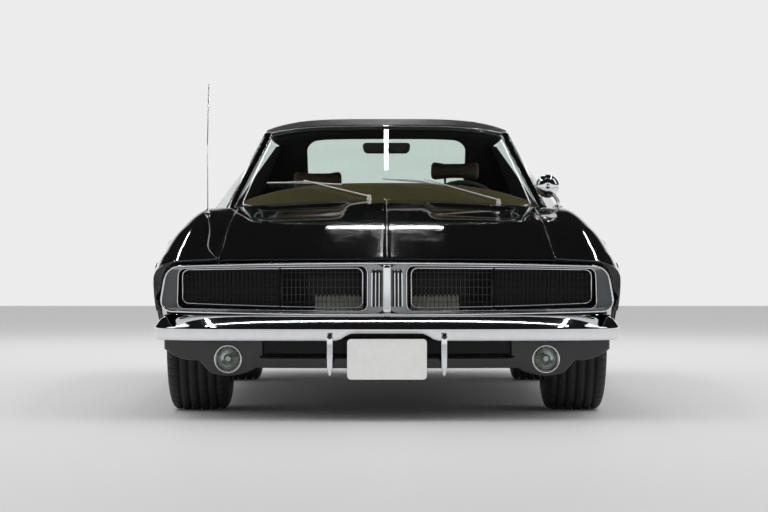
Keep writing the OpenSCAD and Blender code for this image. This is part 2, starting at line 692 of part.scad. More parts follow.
module grille_mesh() {
  z = grille_z + [14 + seat, -14 - seat];
  x = [divider_half_w + 12, cover_x[0] - 12];
  y = nose_face(x[1]) + grille_recess;
  color(dark) both_sides() {
    for (s = steps(x[0], x[1], 20)) block([s - 1.2, s + 1.2], [y, y + 8], z);
    for (s = steps(z[0] + 1, z[1] - 1, 6)) block([x[0], x[1]], [y + 1, y + 7], [s - 1, s + 1]);
  }
  color(chrome) block([-divider_half_w, divider_half_w], [y - 20, y + 10], z);
  color(dark) both_sides() cover_hinges();
}

cover_w = 390;
cover_x = [grille_half_w - 83 - cover_w, grille_half_w - 83];
cover_z = grille_z + [22, -22];
cover_t = 14;
cover_y = nose_face(cover_x[0]) + grille_recess;
cover_slant = atan((nose_face(cover_x[1]) - nose_face(cover_x[0])) / (cover_x[1] - cover_x[0]));
cover_pin_r = 5;
module along_cover() {
  translate([cover_x[0], cover_y, 0]) rotate(cover_slant) children();
}
cover_l = (cover_x[1] - cover_x[0]) / cos(cover_slant);
pin_z = cover_z[1] - 8;
// Upright cheeks at the covers' ends, each with a pin that reaches into the cover
module cover_hinges() {
  z = grille_z + [14 + seat, -14 - seat];
  along_cover() for (e = [[-9, -9], [cover_l + 5, cover_l - 20]]) {
    block([e[0], e[0] + 4], [-2, cover_t + 6], z);
    translate([e[1], cover_t / 2, pin_z]) rotate([0, 90, 0]) cylinder(r = cover_pin_r, h = 29);
  }
}
module cover_plate() {
  color(dark) along_cover() difference() {
    block([0, cover_l], [0, cover_t], cover_z);
    for (x = [-1, cover_l - 24]) translate([x, cover_t / 2, pin_z]) rotate([0, 90, 0])
      cylinder(r = cover_pin_r + run_gap, h = 25);
  }
}
module headlamp_cover_left() { cover_plate(); }
module headlamp_cover_right() { mirror([1, 0, 0]) cover_plate(); }

lamp_r = 70;
lamp_panel_y = cover_y + 262;
module headlamps() {
  z = (cover_z[0] + cover_z[1]) / 2;
  color(clear) both_sides() for (x = [cover_x[0] + 104, cover_x[1] - 110])
    translate([x, lamp_panel_y, z]) rotate([90, 0, 0]) cylinder(r = lamp_r, h = 58);
}

// Front valance and its lamps

valance_z = [212, 330];
valance_half_w = half_w - 118;
lamp_x = valance_half_w - 215;
lamp_z = 246;
park_lamp_r = 53;
function valance_y(x) = nose_end + 92 + 130 * pow(abs(x) / half_w, 2.2);
module front_valance() {
  xs = steps(-valance_half_w, valance_half_w, 24);
  function lamp_drop(x) = 32 * bell((abs(x) - lamp_x + 110) / 220);
  function end_rise(x) = 70 * pow(max(0, (abs(x) - lamp_x - 100) / 150), 2);
  function low(x) = valance_z[0] - lamp_drop(x) + end_rise(x);
  function row(x, depth) = [
    for (t = steps(0, 1, 4))
      [x, valance_y(x) + depth + 18 * (1 - t) * (1 - t), lerp(low(x), valance_z[1], t)]];
  color(dark) difference() {
    slab([for (x = xs) row(x, 0)], [for (x = xs) row(x, 14)]);
    both_sides() translate([lamp_x, valance_y(lamp_x) - 40, lamp_z]) rotate([-90, 0, 0])
      cylinder(r = park_lamp_r + seat, h = 120);
  }
}
module park_lamps() {
  color(clear) both_sides()
    translate([lamp_x, valance_y(lamp_x) - 10, lamp_z]) rotate([-90, 0, 0]) cylinder(r = park_lamp_r, h = 44);
}

// Structure: aprons and lamp panel, fire wall, floor

apron_t = 20;
apron_arch_r = front_arch_r + 40;
arch_rise = 356;
arch_side = [
  for (h = steps(0, arch_rise, 6)) [sqrt(apron_arch_r * apron_arch_r - h * h), hub_z + h]];
apron_low_z = hub_z - 13;
rail_x = [360, 440];
rail_z = [250, 350];
fire_wall_y = [hood_y1 - 10, hood_y1 + 10];
module apron() {
  y0 = lamp_panel_y;
  y1 = fire_wall_y[0];
  top = [for (y = steps(y1, y0, 12)) [y, at(HOOD, 2, y) - lid_t - 8]];
  side_plate(
    concat(
      [[y0, apron_low_z], [front_axle - apron_arch_r, apron_low_z]],
      [for (p = arch_side) [front_axle - p[0], p[1]]],
      [for (i = [len(arch_side) - 1 : -1 : 0]) [front_axle + arch_side[i][0], arch_side[i][1]]],
      [[front_axle + apron_arch_r, apron_low_z], [y1, apron_low_z]],
      top),
    [fender_edge_x - apron_t, fender_edge_x]);
}
module hood_stop() {
  r = 8;
  x = fender_edge_x - apron_t / 2;
  y = front_axle - 470;
  z = at(HOOD, 2, y) - lid_t - 12;
  block([x - r, x + r], [y - r, y + r], [z, hood_z(x + r, y - r) - lid_t - seat]);
}
module front_structure() {
  color(dark) {
    both_sides() apron();
    both_sides() block(rail_x, [lamp_panel_y, fire_wall_y[0]], rail_z);
    both_sides() block(rail_x, [valance_y(rail_x[1]) + 18 + seat, lamp_panel_y + 1], [280, 318]);
    both_sides() hood_stop();
    block(
      [-fender_edge_x + 43, fender_edge_x - 43],
      [nose_y + 16, lamp_panel_y + 1],
      [grille_z[0] - seat - 6, grille_z[0] - seat]);
    difference() {
      block([-fender_edge_x, fender_edge_x], [lamp_panel_y, lamp_panel_y + 12], [250, grille_z[1] - 12]);
      block([-330, 330], [lamp_panel_y - 1, lamp_panel_y + 13], [320, 580]);
    }
  }
}
module fire_wall() {
  color(dark) difference() {
    union() {
      block([-cabin_wall_x + 4, cabin_wall_x - 4], fire_wall_y, [sill_height + 2, 790]);
      block([-fender_edge_x + 1, fender_edge_x - 1], fire_wall_y, [700, at(HOOD, 2, hood_y1) - lid_t - 10]);
    }
    block([-130, 130], [fire_wall_y[0] - 1, fire_wall_y[1] + 1], [sill_height, 420]);
  }
}

floor_t = 24;
floor_z = sill_height + 2;
riser = [door_y1 + 412, door_y1 + 502];
trunk_floor_z = 500;
tub_half_w = quarter_edge_x;
// Jacking pads under the floor
lift_x = [560, 640];
lift_y = [-40, 40];
lift_h = 12;
tunnel = [130, 90, 205];
tunnel_top_z = floor_z + tunnel[2];
tunnel_wall = 18;
// Half of the floor's cross-section as [x, z], from under the tunnel round the sill to the tunnel's top
floor_line = [
  [tunnel[1], tunnel_top_z - floor_t], [tunnel[0], floor_z],
  [cabin_wall_x, floor_z], [cabin_wall_x, floor_z + floor_t],
  [tunnel[0] + tunnel_wall, floor_z + floor_t], [tunnel[1] + tunnel_wall, tunnel_top_z]];
function mirrored_back(line) = [for (i = [len(line) - 1 : -1 : 0]) [-line[i][0], line[i][1]]];
// The step behind the rear seat and the trunk floor as [y, z]
riser_outline = [
  [riser[0], floor_z], [riser[1], trunk_floor_z],
  [tail_panel_y, trunk_floor_z], [tail_panel_y, trunk_floor_z + floor_t],
  [riser[1] - 8, trunk_floor_z + floor_t], [riser[0], floor_z + floor_t + 8]];
module floor_pan() {
  y0 = fire_wall_y[1];
  color(dark) {
    translate([0, riser[0], 0]) rotate([90, 0, 0]) linear_extrude(riser[0] - y0)
      polygon(concat(floor_line, mirrored_back(floor_line)));
    difference() {
      side_plate(riser_outline, [-tub_half_w, tub_half_w]);
      block([-tunnel[1], tunnel[1]], [riser[0] - 1, riser[0] + 130], [floor_z - 1, tunnel_top_z - floor_t]);
    }
    both_sides() side_plate(
      concat([[deck_y0, trunk_floor_z], [tail_panel_y, trunk_floor_z]],
        [for (y = steps(tail_panel_y, deck_y0, 8)) [y, min(at(DECK, 2, y) - lid_t - 8, tail_panel_z[1])]]),
      [tub_half_w - 22, tub_half_w]);
    both_sides() rocker();
    both_sides() block(
      [cabin_wall_x - 20, cabin_wall_x - seat],
      [door_y0 + 60, door_y1 - 80],
      [floor_z + floor_t - 1, door_z0 + 20]);
    both_sides() block(lift_x, lift_y, [floor_z - lift_h, floor_z + 1]);
    both_sides() lid_stop();
    both_sides() rear_bumper_bracket();
  }
}
module lid_stop() {
  x = tub_half_w - 11;
  y = deck_y1 - 300;
  z = tail_panel_z[1] - 2;
  block([x - 8, x + 8], [y - 8, y + 8], [z, deck_z(x + 5, y + 8) - lid_t - seat]);
}
module rear_bumper_bracket() {
  p = bumper_path(11, tail_end, -1, rear_wrap, rear_sweep);
  y = [tail_panel_y - 200, p[1] - 14 - 3 * seat];
  block([p[0] - 10, p[0] + 10], y, [trunk_floor_z - 14, trunk_floor_z]);
}
module rocker() {
  ys = steps(door_y0 + 1, door_y1 - 1, 6);
  zs = steps(sill_height, door_z0 - panel_gap, 3);
  slab(
    [for (y = ys) [for (z = zs) [side_x(y, z), y, z]]],
    [for (y = ys) [for (z = zs) [cabin_wall_x + seat, y, z]]]);
}

// Cabin

seat_x = 350;
seat_in = 190;
seat_out = 230;
// Columns: y, z, the front seats from the cushion's front lower corner, the rear from the foot of the riser
SEAT_SIDE = [
  [0, 0], [0, 190], [40, 230], [430, 190], [560, 660],
  [600, 690], [640, 670], [600, 300], [540, 0]];
REAR_SIDE = [
  [-330, 24], [-335, 225], [-290, 262], [-60, 232], [190, 664],
  [270, 660], [200, 318], [74, 318], [-4, 36], [-4, 24]];
front_seat_y = door_y1 - 570;
rest_w = 266;
rest_y = [front_seat_y + 570, front_seat_y + 630];
rest_h = 110;
driver_rest_z = 1157;
passenger_rest_z = 1108;
module front_seats() {
  z = floor_z + floor_t;
  color(hide) for (s = [[1, driver_rest_z], [-1, passenger_rest_z]]) mirror([s[0] < 0 ? 1 : 0, 0, 0]) {
    side_plate([for (p = SEAT_SIDE) p + [front_seat_y, z]], [seat_x - seat_in, seat_x + seat_out]);
    block([seat_x - rest_w / 2, seat_x + rest_w / 2], rest_y, [s[1] - rest_h, s[1]]);
    for (dx = [-50, 50])
      block([seat_x + dx - 8, seat_x + dx + 8], rest_y + [22, -22], [z + 685, s[1] - rest_h + 1]);
  }
}
rear_seat_half_w = cabin_wall_x - 192;
module rear_seat() {
  color(hide) difference() {
    side_plate([for (p = REAR_SIDE) p + [riser[0], floor_z]], [-rear_seat_half_w, rear_seat_half_w]);
    block([-tunnel[0] - 22, tunnel[0] + 22], [riser[0] - 400, riser[0] + 140], [floor_z, tunnel_top_z + 1]);
  }
}
dash_y = [fire_wall_y[1], fire_wall_y[1] + 330];
// Pad from the fire wall to the crest and the face.
// Columns: y, z (or the drop from the pad's line), share of the crest
DASH_PAD = [[0, 850, 0], [88, 862, 0], [200, 0, 0.633], [265, 0, 1], [300, -5, 1], [328, -50, 1]];
DASH_LOW = [[0, 640], [80, 640], [160, 640], [240, 640], [290, 720], [318, 790]];
crest_y = DASH_PAD[3][0];
// Room between the crest and the windshield
crest_room = 72;
crest_share = (dash_y[0] + crest_y - ws_y0) / (header_y - ws_y0);
dash_crest_z = ws_point(0, crest_share)[2] - crest_room;
dash_fall = 110;
column_r = 26;
column_tip = [360, dash_y[1] + 190, dash_crest_z - 164];
column_tilt = 24;
// From the wheel's middle to the fire wall
column_l = (column_tip[1] - fire_wall_y[1] - seat) / cos(column_tilt) - column_r * tan(column_tilt);
module along_column() {
  translate(column_tip) rotate([90 + column_tilt, 0, 0]) children();
}
module dashboard() {
  half = fender_edge_x - 8;
  xs = steps(-half, half, 12);
  function pad(x, rise) = lerp(DASH_PAD[1][1], dash_crest_z - dash_fall * pow(abs(x) / half, 3), rise);
  color(hide) slab(
    [for (x = xs) [for (p = DASH_PAD) [x, dash_y[0] + p[0], p[2] == 0 ? p[1] : pad(x, p[2]) + p[1]]]],
    [for (x = xs) [for (p = DASH_LOW) [x, dash_y[0] + p[0], p[1]]]]);
  color(dark) along_column() {
    translate([0, 0, 24]) cylinder(r = column_r, h = column_l - 24);
    translate([0, 0, -20]) cylinder(r = 10, h = 60);
  }
}
wheel_rim_r = 190;
module steering_wheel() {
  color(dark) along_column() difference() {
    union() {
      rotate_extrude() translate([wheel_rim_r, 0]) circle(r = 13);
      translate([0, 0, -16]) cylinder(r = 34, h = 38);
      for (a = [0, 120, 240]) rotate(a + 90) translate([20, -11, -5]) cube([wheel_rim_r - 24, 22, 10]);
    }
    translate([0, 0, -40]) cylinder(r = 10 + run_gap, h = 80);
  }
}
module cabin_mirror() {
  y = header_y + 40;
  z = roof_z(0, y) - roof_t;
  color(dark) {
    translate([0, y, z - 92]) cylinder(r = 7, h = 91 - seat);
    block([-112, 112], [y - 12, y + 16], [z - 136, z - 91]);
  }
}

// Engine, radiator, exhaust, tank

module engine() {
  color("#3a3d40") {
    block([-270, 270], [front_axle - 220, fire_wall_y[0] - 60], [rail_z[0], 690]);
    translate([0, fire_wall_y[0] - 61, 312]) rotate([-90, 0, 0]) cylinder(r = 70, h = 700.7);
    x = rail_x[0] - seat;
    block([-x, x], [front_axle + 100, front_axle + 160], [rail_z[0] + 30, rail_z[1] - 10]);
  }
}
module radiator() {
  color(dark) block([-346, 346], [lamp_panel_y + 12, lamp_panel_y + 72], [306, 594]);
}
pipe_r = 24;
pipe_x = spring_x[0] - 170;
tail_pipe_x = pipe_x + 110;
pipe_z = floor_z - pipe_r * sin(72) - seat;
module exhaust() {
  color("#77797c") both_sides() {
    tube([
      [pipe_x, door_y0 - 200, pipe_z],
      [pipe_x, riser[0] + 26, pipe_z],
      [pipe_x, rear_axle - 330, 300],
      [pipe_x, rear_axle - 160, 425],
      [pipe_x, tail_share(0.1), 425],
      [pipe_x, tail_share(0.264), 330],
      [tail_pipe_x, tail_share(0.511), 300],
      [tail_pipe_x, tail_end - 30, 300]], pipe_r);
  }
}
tank_half_w = pipe_x - 30;
module fuel_tank() {
  y = [tail_share(0.297), tail_share(0.808)];
  color("#6b6e70") block([-tank_half_w, tank_half_w], y, [290, trunk_floor_z]);
}

// Front suspension: arms with eyes, and knuckles that turn in them about the kingpins

eye_r = 30;
eye_h = 22;
eye_dz = 122;
ball_r = 11;
module arm(z) {
  difference() {
    union() {
      translate([kingpin_x, front_axle, z - eye_h / 2]) cylinder(r = eye_r, h = eye_h);
      block([rail_x[1], kingpin_x], [front_axle - 24, front_axle + 24], [z - eye_h / 2, z + eye_h / 2]);
    }
    translate([kingpin_x, front_axle, z - eye_h]) cylinder(r = ball_r + run_gap, h = 2 * eye_h);
  }
}
module front_suspension() {
  color(dark) {
    both_sides() {
      arm(hub_z - eye_dz);
      arm(hub_z + eye_dz);
      y = [front_axle - 50, front_axle + 50];
      block([rail_x[1] - 40, rail_x[1]], y, [rail_z[1], hub_z + eye_dz + 30]);
      block(rail_x, y, [hub_z - eye_dz - 20, rail_z[0]]);
    }
    block([-rail_x[0], rail_x[0]], [front_axle - 60, front_axle + 60], [hub_z - eye_dz - 20, rail_z[0]]);
  }
}
disc_r = 142;
module knuckle() {
  reach = eye_dz - eye_h / 2 - 0.5;
  color("#55585a") {
    translate([kingpin_x, front_axle, hub_z - reach]) cylinder(r = 24, h = 2 * reach);
    translate([kingpin_x, front_axle, hub_z - eye_dz - eye_h / 2])
      cylinder(r = ball_r, h = 2 * eye_dz + eye_h);
    translate([kingpin_x, front_axle, hub_z]) rotate([0, 90, 0])
      cylinder(r = spindle_r, h = kingpin_inset + 46);
    translate([kingpin_x + 36, front_axle, hub_z]) rotate([0, 90, 0]) cylinder(r = disc_r, h = 22);
  }
}
module knuckle_left() { knuckle(); }
module knuckle_right() { mirror([1, 0, 0]) knuckle(); }

beam_r = 38;
module rear_axle_beam() {
  color(dark) {
    translate([-kingpin_x, rear_axle, hub_z]) rotate([0, 90, 0]) cylinder(r = beam_r, h = 2 * kingpin_x);
    translate([0, rear_axle - 80, hub_z]) rotate([-90, 0, 0]) cylinder(r = 112, h = 160);
    both_sides() {
      translate([kingpin_x - 1, rear_axle, hub_z]) rotate([0, 90, 0])
        cylinder(r = spindle_r, h = kingpin_inset + 47);
      translate([kingpin_x + 4, rear_axle, hub_z]) rotate([0, 90, 0]) cylinder(r = disc_r, h = 54);
    }
    translate([0, fire_wall_y[0] + 640, 312]) rotate([-90, 0, 0])
      cylinder(r = 36, h = rear_axle - fire_wall_y[0] - 650);
  }
}
leaf_t = 26;
leaf_sag = 96;
leaf_reach = [riser[1] + 8, tail_share(0.577)];
leaf_span = max(leaf_reach[1] - rear_axle, rear_axle - leaf_reach[0]);
module leaf_springs() {
  z0 = hub_z - beam_r - seat;
  function z(y) = z0 + leaf_sag * pow((y - rear_axle) / leaf_span, 2);
  ys = steps(leaf_reach[0], leaf_reach[1], 12);
  color(dark) both_sides() {
    slab(
      [for (y = ys) [[spring_x[0], y, z(y)], [spring_x[1], y, z(y)]]],
      [for (y = ys) [[spring_x[0], y, z(y) - leaf_t], [spring_x[1], y, z(y) - leaf_t]]]);
    block(spring_x, [leaf_reach[1] - 30, leaf_reach[1] - 4], [z(leaf_reach[1] - 4) + seat, trunk_floor_z]);
    block(spring_x, [leaf_reach[0] + 4, leaf_reach[0] + 30], [z(leaf_reach[0] + 4) + seat, trunk_floor_z]);
  }
}

// Wheels: tyre and five-spoke rim, each spinning about its spindle

rim_w = 214;
flange_h = 12;
barrel_t = 11;
bead_w = 20;
tread_w = tyre_w - 34;
module about_x() { rotate([0, 90, 0]) rotate_extrude($fn = 96) rotate(90) mirror([0, 1]) children(); }
// Outline in [x, r], x along the axle
module tyre_outline() {
  r0 = rim_d / 2 + seat;
  bead_x = rim_w / 2 - barrel_t;
  side_x = tyre_w / 2;
  tread_x = tread_w / 2;
  // Half of the carcass: outside from the bead to the crown, then inside back to the bead
  outside = [
    [bead_x, r0], [bead_x, r0 + flange_h + 2], [side_x - 12, r0 + 30], [side_x, r0 + (hub_z - r0) * 0.5],
    [side_x - 6, hub_z - 42], [tread_x, hub_z - 12], [tread_x - 22, hub_z - 2]];
  inside = [
    [tread_x - 10, hub_z - 24], [side_x - 22, hub_z - 50], [side_x - 22, r0 + 50], [bead_x - bead_w, r0]];
  polygon(concat(outside, [[0, hub_z]], mirrored_back(outside), mirrored_back(inside), inside));
}
module tyre(y) {
  color(rubber) translate([wheel_x, y, hub_z]) about_x() tyre_outline();
}
spoke_n = 5;
hub_r = 62;
face_x = [30, 62];
module rim_outline() {
  r = rim_d / 2;
  edge = rim_w / 2 - barrel_t + 1;
  polygon([
    [-rim_w / 2, r - barrel_t], [-rim_w / 2, r + flange_h], [-edge, r + flange_h], [-edge, r],
    [edge, r], [edge, r + flange_h], [rim_w / 2, r + flange_h], [rim_w / 2, r - barrel_t],
    [face_x[1], r - barrel_t], [face_x[1] - 8, hub_r], [face_x[1] - 8, spindle_r + run_gap],
    [face_x[0] - 24, spindle_r + run_gap], [face_x[0] - 24, hub_r], [face_x[0], hub_r + 8],
    [face_x[1] - 18, r - barrel_t]]);
}
module spoke_window() {
  r1 = rim_d / 2 - barrel_t - 12;
  translate([-40, 0, 0]) rotate([90, 0, 90]) linear_extrude(160) hull() {
    translate([r1 - 22, 44]) circle(r = 18, $fn = 24);
    translate([r1 - 22, -44]) circle(r = 18, $fn = 24);
    translate([hub_r + 36, 0]) circle(r = 16, $fn = 24);
  }
}
module rim(y) {
  color(chrome) translate([wheel_x, y, hub_z]) difference() {
    about_x() rim_outline();
    for (i = [0 : spoke_n - 1]) rotate([360 * i / spoke_n, 0, 0]) spoke_window();
  }
}
module tyre_front_left() { tyre(front_axle); }
module tyre_front_right() { mirror([1, 0, 0]) tyre(front_axle); }
module tyre_rear_left() { tyre(rear_axle); }
module tyre_rear_right() { mirror([1, 0, 0]) tyre(rear_axle); }
module wheel_front_left() { rim(front_axle); }
module wheel_front_right() { mirror([1, 0, 0]) rim(front_axle); }
module wheel_rear_left() { rim(rear_axle); }
module wheel_rear_right() { mirror([1, 0, 0]) rim(rear_axle); }

// Small outside pieces

mirror_lean = 33;
mirror_in = 48;
module door_mirror() {
  y = door_y0 + 150;
  x = shoulder(y)[0] - 1;
  z = shoulder(y)[1] + seat;
  color(chrome) translate([x, y, z]) {
    cylinder(r = 10, h = 30);
    translate([0, 0, 26]) rotate([0, -mirror_lean, 0]) cylinder(r = 8, h = 62);
    translate([-mirror_in, 0, 100]) rotate([90, 0, 0]) cylinder(r = 54, h = 34, center = true);
  }
}
wiper_lift = [0, -9, 12];
module wipers() {
  color(chrome) for (p = [[-80, 2.2], [515, 1]]) {
    pivot = cowl_point(p[0], 0.5) + [0, 0, p[1]];
    translate(pivot) cylinder(r = 9, h = 20);
    knee = ws_point((p[0] - 40) / ws_half_w, 0.06) + wiper_lift;
    tip = ws_point((p[0] - 330) / ws_half_w, 0.28) + wiper_lift;
    tube([pivot + [6, 2, 25.2], knee, tip], 5);
  }
}
aerial_h = 560;
module aerial() {
  x = -(half_w - 170);
  y = front_axle + 430;
  z = lerp(shoulder(y)[1], at(HOOD, 2, y), 0.15) + 2 * seat;
  color(chrome) translate([x, y, z]) {
    cylinder(r = 14, h = 18);
    translate([0, 0, 17]) cylinder(r1 = 3, r2 = 2, h = aerial_h);
  }
}

floor_pan();
front_structure();
fire_wall();
front_fenders();
cowl();
quarter_panels();
roof();
windshield();
rear_window();
quarter_glass();
deck_panel();
tail_panel();
tail_lamps();
front_bumper();
plate_bracket();
rear_bumper();
grille_surround();
grille_mesh();
headlamps();
front_valance();
park_lamps();
front_seats();
rear_seat();
dashboard();
cabin_mirror();
engine();
radiator();
front_suspension();
rear_axle_beam();
leaf_springs();
exhaust();
fuel_tank();
wipers();
aerial();
hood();
trunk_lid();
door_left();
door_glass_left();
door_mirror();
door_right();
door_glass_right();
headlamp_cover_left();
headlamp_cover_right();
steering_wheel();
knuckle_left();
knuckle_right();
tyre_front_left();
tyre_front_right();
tyre_rear_left();
tyre_rear_right();
wheel_front_left();
wheel_front_right();
wheel_rear_left();
wheel_rear_right();
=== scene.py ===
from math import asin, copysign, cos, exp, hypot, pi, radians, sin, sqrt

import bmesh
import bpy
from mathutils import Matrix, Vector


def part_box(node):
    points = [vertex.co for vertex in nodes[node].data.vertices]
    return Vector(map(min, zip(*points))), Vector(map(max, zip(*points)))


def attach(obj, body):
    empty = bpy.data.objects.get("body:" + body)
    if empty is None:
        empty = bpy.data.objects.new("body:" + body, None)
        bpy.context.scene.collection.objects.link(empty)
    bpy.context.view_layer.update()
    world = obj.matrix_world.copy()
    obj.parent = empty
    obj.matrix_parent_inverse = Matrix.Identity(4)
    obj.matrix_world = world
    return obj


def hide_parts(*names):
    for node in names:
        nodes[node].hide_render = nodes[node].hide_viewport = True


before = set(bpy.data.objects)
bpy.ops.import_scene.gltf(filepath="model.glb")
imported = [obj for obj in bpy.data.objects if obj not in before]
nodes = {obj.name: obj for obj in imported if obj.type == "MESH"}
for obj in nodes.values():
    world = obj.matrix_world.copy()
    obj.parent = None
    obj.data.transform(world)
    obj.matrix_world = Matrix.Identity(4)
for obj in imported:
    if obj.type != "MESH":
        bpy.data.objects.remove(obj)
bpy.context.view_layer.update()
MM = 0.001

# Sizes shared with the solids, in millimetres
HALF_W = 973.0
NOSE_END, TAIL_END = -2641.5, 2641.5
FRONT_AXLE, REAR_AXLE = -1671.5, 1300.5
HUB_Z, WHEEL_X = 343.0, 801.0
NOSE_Y, TAIL_Y = NOSE_END + 66, TAIL_END - 66
DOOR_Y0, DOOR_Y1 = FRONT_AXLE + 770, FRONT_AXLE + 2100
SILL_Z, DOOR_Z0 = 205.0, 279.0
HOOD_Y1 = DOOR_Y0 - 76
DECK_Y0, DECK_Y1 = REAR_AXLE - 38, TAIL_Y - 55
CABIN_X = HALF_W - 181
FENDER_X, QUARTER_X = 683.0, 636.0
HOOD_X, DECK_X = 677.0, 630.0
SAIL_Y0, SAIL_Y1 = REAR_AXLE - 415, REAR_AXLE + 600
HEADER_Y, ROOF_Y1 = DOOR_Y0 + 500, REAR_AXLE - 540
ROOF_Z, ROOF_T, ROOF_POWER = 1350.0, 30.0, 4.2
SWEEP, SWEEP_X, SWEEP_LENGTH = 70.0, 560.0, 420.0
WS_Y0, WS_HALF, WS_TOP_HALF = HOOD_Y1 + 44, 705.0, 545.0
WS_BULGE, WS_NORMAL = (0, -3.5, 2), (0, -0.567, 0.824)
GAP, SEAT, GLASS_T = 6.0, 0.3, 6.0
TAIL_STEP = (TAIL_Y - 245, TAIL_Y - 178)
FRONT_ARCH_R, REAR_ARCH_R = 388.0, 374.0
BOW, BOW_POWER, BOW_LENGTH = 85.0, 2.4, 600.0
SHOULDER_POWER = 2.3
DISH_X, DISH_EDGE, DISH_SOFT, DISH_DEPTH = 165.0, 73.0, 70.0, 14.0
BUMPER_HALF = 950.0

SECTIONS = [
    (NOSE_Y, 440, 44, 562, 32, 180, 646),
    (NOSE_Y + 266, 440, 30, 572, 20, 174, 694),
    (NOSE_Y + 330, 332, 46, 574, 18, 174, 705),
    (FRONT_AXLE, 250, 50, 596, 8, 172, 800),
    (DOOR_Y0, SILL_Z, 60, 602, 20, 172, 884),
    (DOOR_Y0 + 665, SILL_Z, 62, 602, 30, 175, 890),
    (DOOR_Y1, SILL_Z, 60, 610, 24, 172, 903),
    (REAR_AXLE, 250, 50, 628, 0, 164, 944),
    (REAR_AXLE + 560, 330, 56, 632, 6, 168, 936),
    (TAIL_STEP[0], 345, 62, 630, 20, 182, 921),
    (TAIL_STEP[1], 572, 30, 630, 26, 186, 917),
    (TAIL_Y, 572, 46, 626, 44, 204, 904),
]
LOW_Z, LOW_IN, WIDE_Z, WIDE_IN, TOP_IN, TOP_Z = 1, 2, 3, 4, 5, 6
HOOD = [
    (NOSE_Y, 656, 652),
    (FRONT_AXLE - 560, 726, 706),
    (FRONT_AXLE, 826, 808),
    (HOOD_Y1, 922, 886),
    (DOOR_Y0 + 20, 928, 890),
]
DECK = [
    (SAIL_Y0 - 60, 960, 934),
    (DECK_Y0, 958, 946),
    (REAR_AXLE + 560, 950, 938),
    (TAIL_Y - 100, 934, 916),
    (TAIL_Y, 930, 908),
]
ROOF = [
    (HEADER_Y, ROOF_Z - 55, ROOF_Z - 87, 560),
    (HEADER_Y + 300, ROOF_Z - 14, ROOF_Z - 68, 588),
    (HEADER_Y + 650, ROOF_Z, ROOF_Z - 58, 598),
    (HEADER_Y + 980, ROOF_Z - 10, ROOF_Z - 66, 590),
    (ROOF_Y1, ROOF_Z - 36, ROOF_Z - 80, 574),
]
CREST, EDGE, WIDTH = 1, 2, 3  # columns of HOOD, DECK and ROOF
COVERS = ("headlamp_cover_left", "headlamp_cover_right")
DOORS = ("door_left", "door_right")

# Numbers and forms shared by many pieces


def lerp(a, b, t):
    return a + (b - a) * t


def between(p, q, t):
    return tuple(lerp(a, b, t) for a, b in zip(p, q))


def shifted(p, *by):
    return tuple(a + b for a, b in zip(p, by))


def steps(a, b, n):
    return [lerp(a, b, i / n) for i in range(n + 1)]


def circle(n):
    return steps(0, 2 * pi, n)[:-1]


def clamp(t):
    return min(1.0, max(0.0, t))


def shelf(t):
    t = clamp(t)
    return t * t * (3 - 2 * t)


def span(v, low, high, soft):
    """1 between low and high, falling to 0 at both."""
    return shelf((v - low) / soft) * shelf((high - v) / soft)


def at(table, c, y):
    i = 0
    while i < len(table) - 2 and y >= table[i + 1][0]:
        i += 1

    def slope(k):
        a, b = max(k - 1, 0), min(k + 1, len(table) - 1)
        return (table[b][c] - table[a][c]) / (table[b][0] - table[a][0])

    h = table[i + 1][0] - table[i][0]
    t = (y - table[i][0]) / h
    p = (2 * t**3 - 3 * t**2 + 1) * table[i][c] + (t**3 - 2 * t**2 + t) * slope(i) * h
    return p + (3 * t**2 - 2 * t**3) * table[i + 1][c] + (t**3 - t**2) * slope(i + 1) * h


def bow(x):
    return BOW * (abs(x) / HALF_W) ** BOW_POWER


def nose(x, y):
    return y + bow(x) * max(0, 1 - (y - NOSE_Y) / BOW_LENGTH) ** 2


def side_x(y, z):
    wz, lz = at(SECTIONS, WIDE_Z, y), at(SECTIONS, LOW_Z, y)
    wx, tx = HALF_W - at(SECTIONS, WIDE_IN, y), HALF_W - at(SECTIONS, TOP_IN, y)
    if z < wz:
        return wx - (wx - HALF_W + at(SECTIONS, LOW_IN, y)) * ((wz - z) / (wz - lz)) ** 2
    up = min(1.0, (z - wz) / (at(SECTIONS, TOP_Z, y) - wz))
    return tx + (wx - tx) * max(0.0, 1 - up**SHOULDER_POWER) ** (1 / SHOULDER_POWER)


def shoulder(y):
    return HALF_W - at(SECTIONS, TOP_IN, y), at(SECTIONS, TOP_Z, y)


def section(y, z0, low=16, top=22):
    """Half a section of the body: points (x, z) from the sill, or from z0, up to the shoulder."""
    wz = at(SECTIONS, WIDE_Z, y)
    wx = HALF_W - at(SECTIONS, WIDE_IN, y)
    tx, tz = shoulder(y)
    lz = max(z0, at(SECTIONS, LOW_Z, y))
    if lz < wz - 1:
        line = [(side_x(y, z), z) for z in steps(lz, wz, low)][:-1]
        a0 = 0.0
    else:
        line = [(side_x(y, lz), lz)] * low
        a0 = asin(clamp((lz - wz) / (tz - wz)) ** (SHOULDER_POWER / 2))
    for a in steps(a0, pi / 2, top):
        x = tx + (wx - tx) * max(0, cos(a)) ** (2 / SHOULDER_POWER)
        line.append((x, wz + (tz - wz) * sin(a) ** (2 / SHOULDER_POWER)))
    return line


def hood_z(x, y):
    c, e = at(HOOD, CREST, y), at(HOOD, EDGE, y)
    across = span(abs(x), DISH_X, FENDER_X - DISH_EDGE, DISH_SOFT)
    along = shelf((y - FRONT_AXLE + 60) / 300) * shelf((HOOD_Y1 - 70 - y) / 70)
    return c - (c - e) * (abs(x) / FENDER_X) ** 1.7 - DISH_DEPTH * across * along


def deck_z(x, y):
    c, e = at(DECK, CREST, y), at(DECK, EDGE, y)
    return c - (c - e) * (abs(x) / QUARTER_X) ** 2


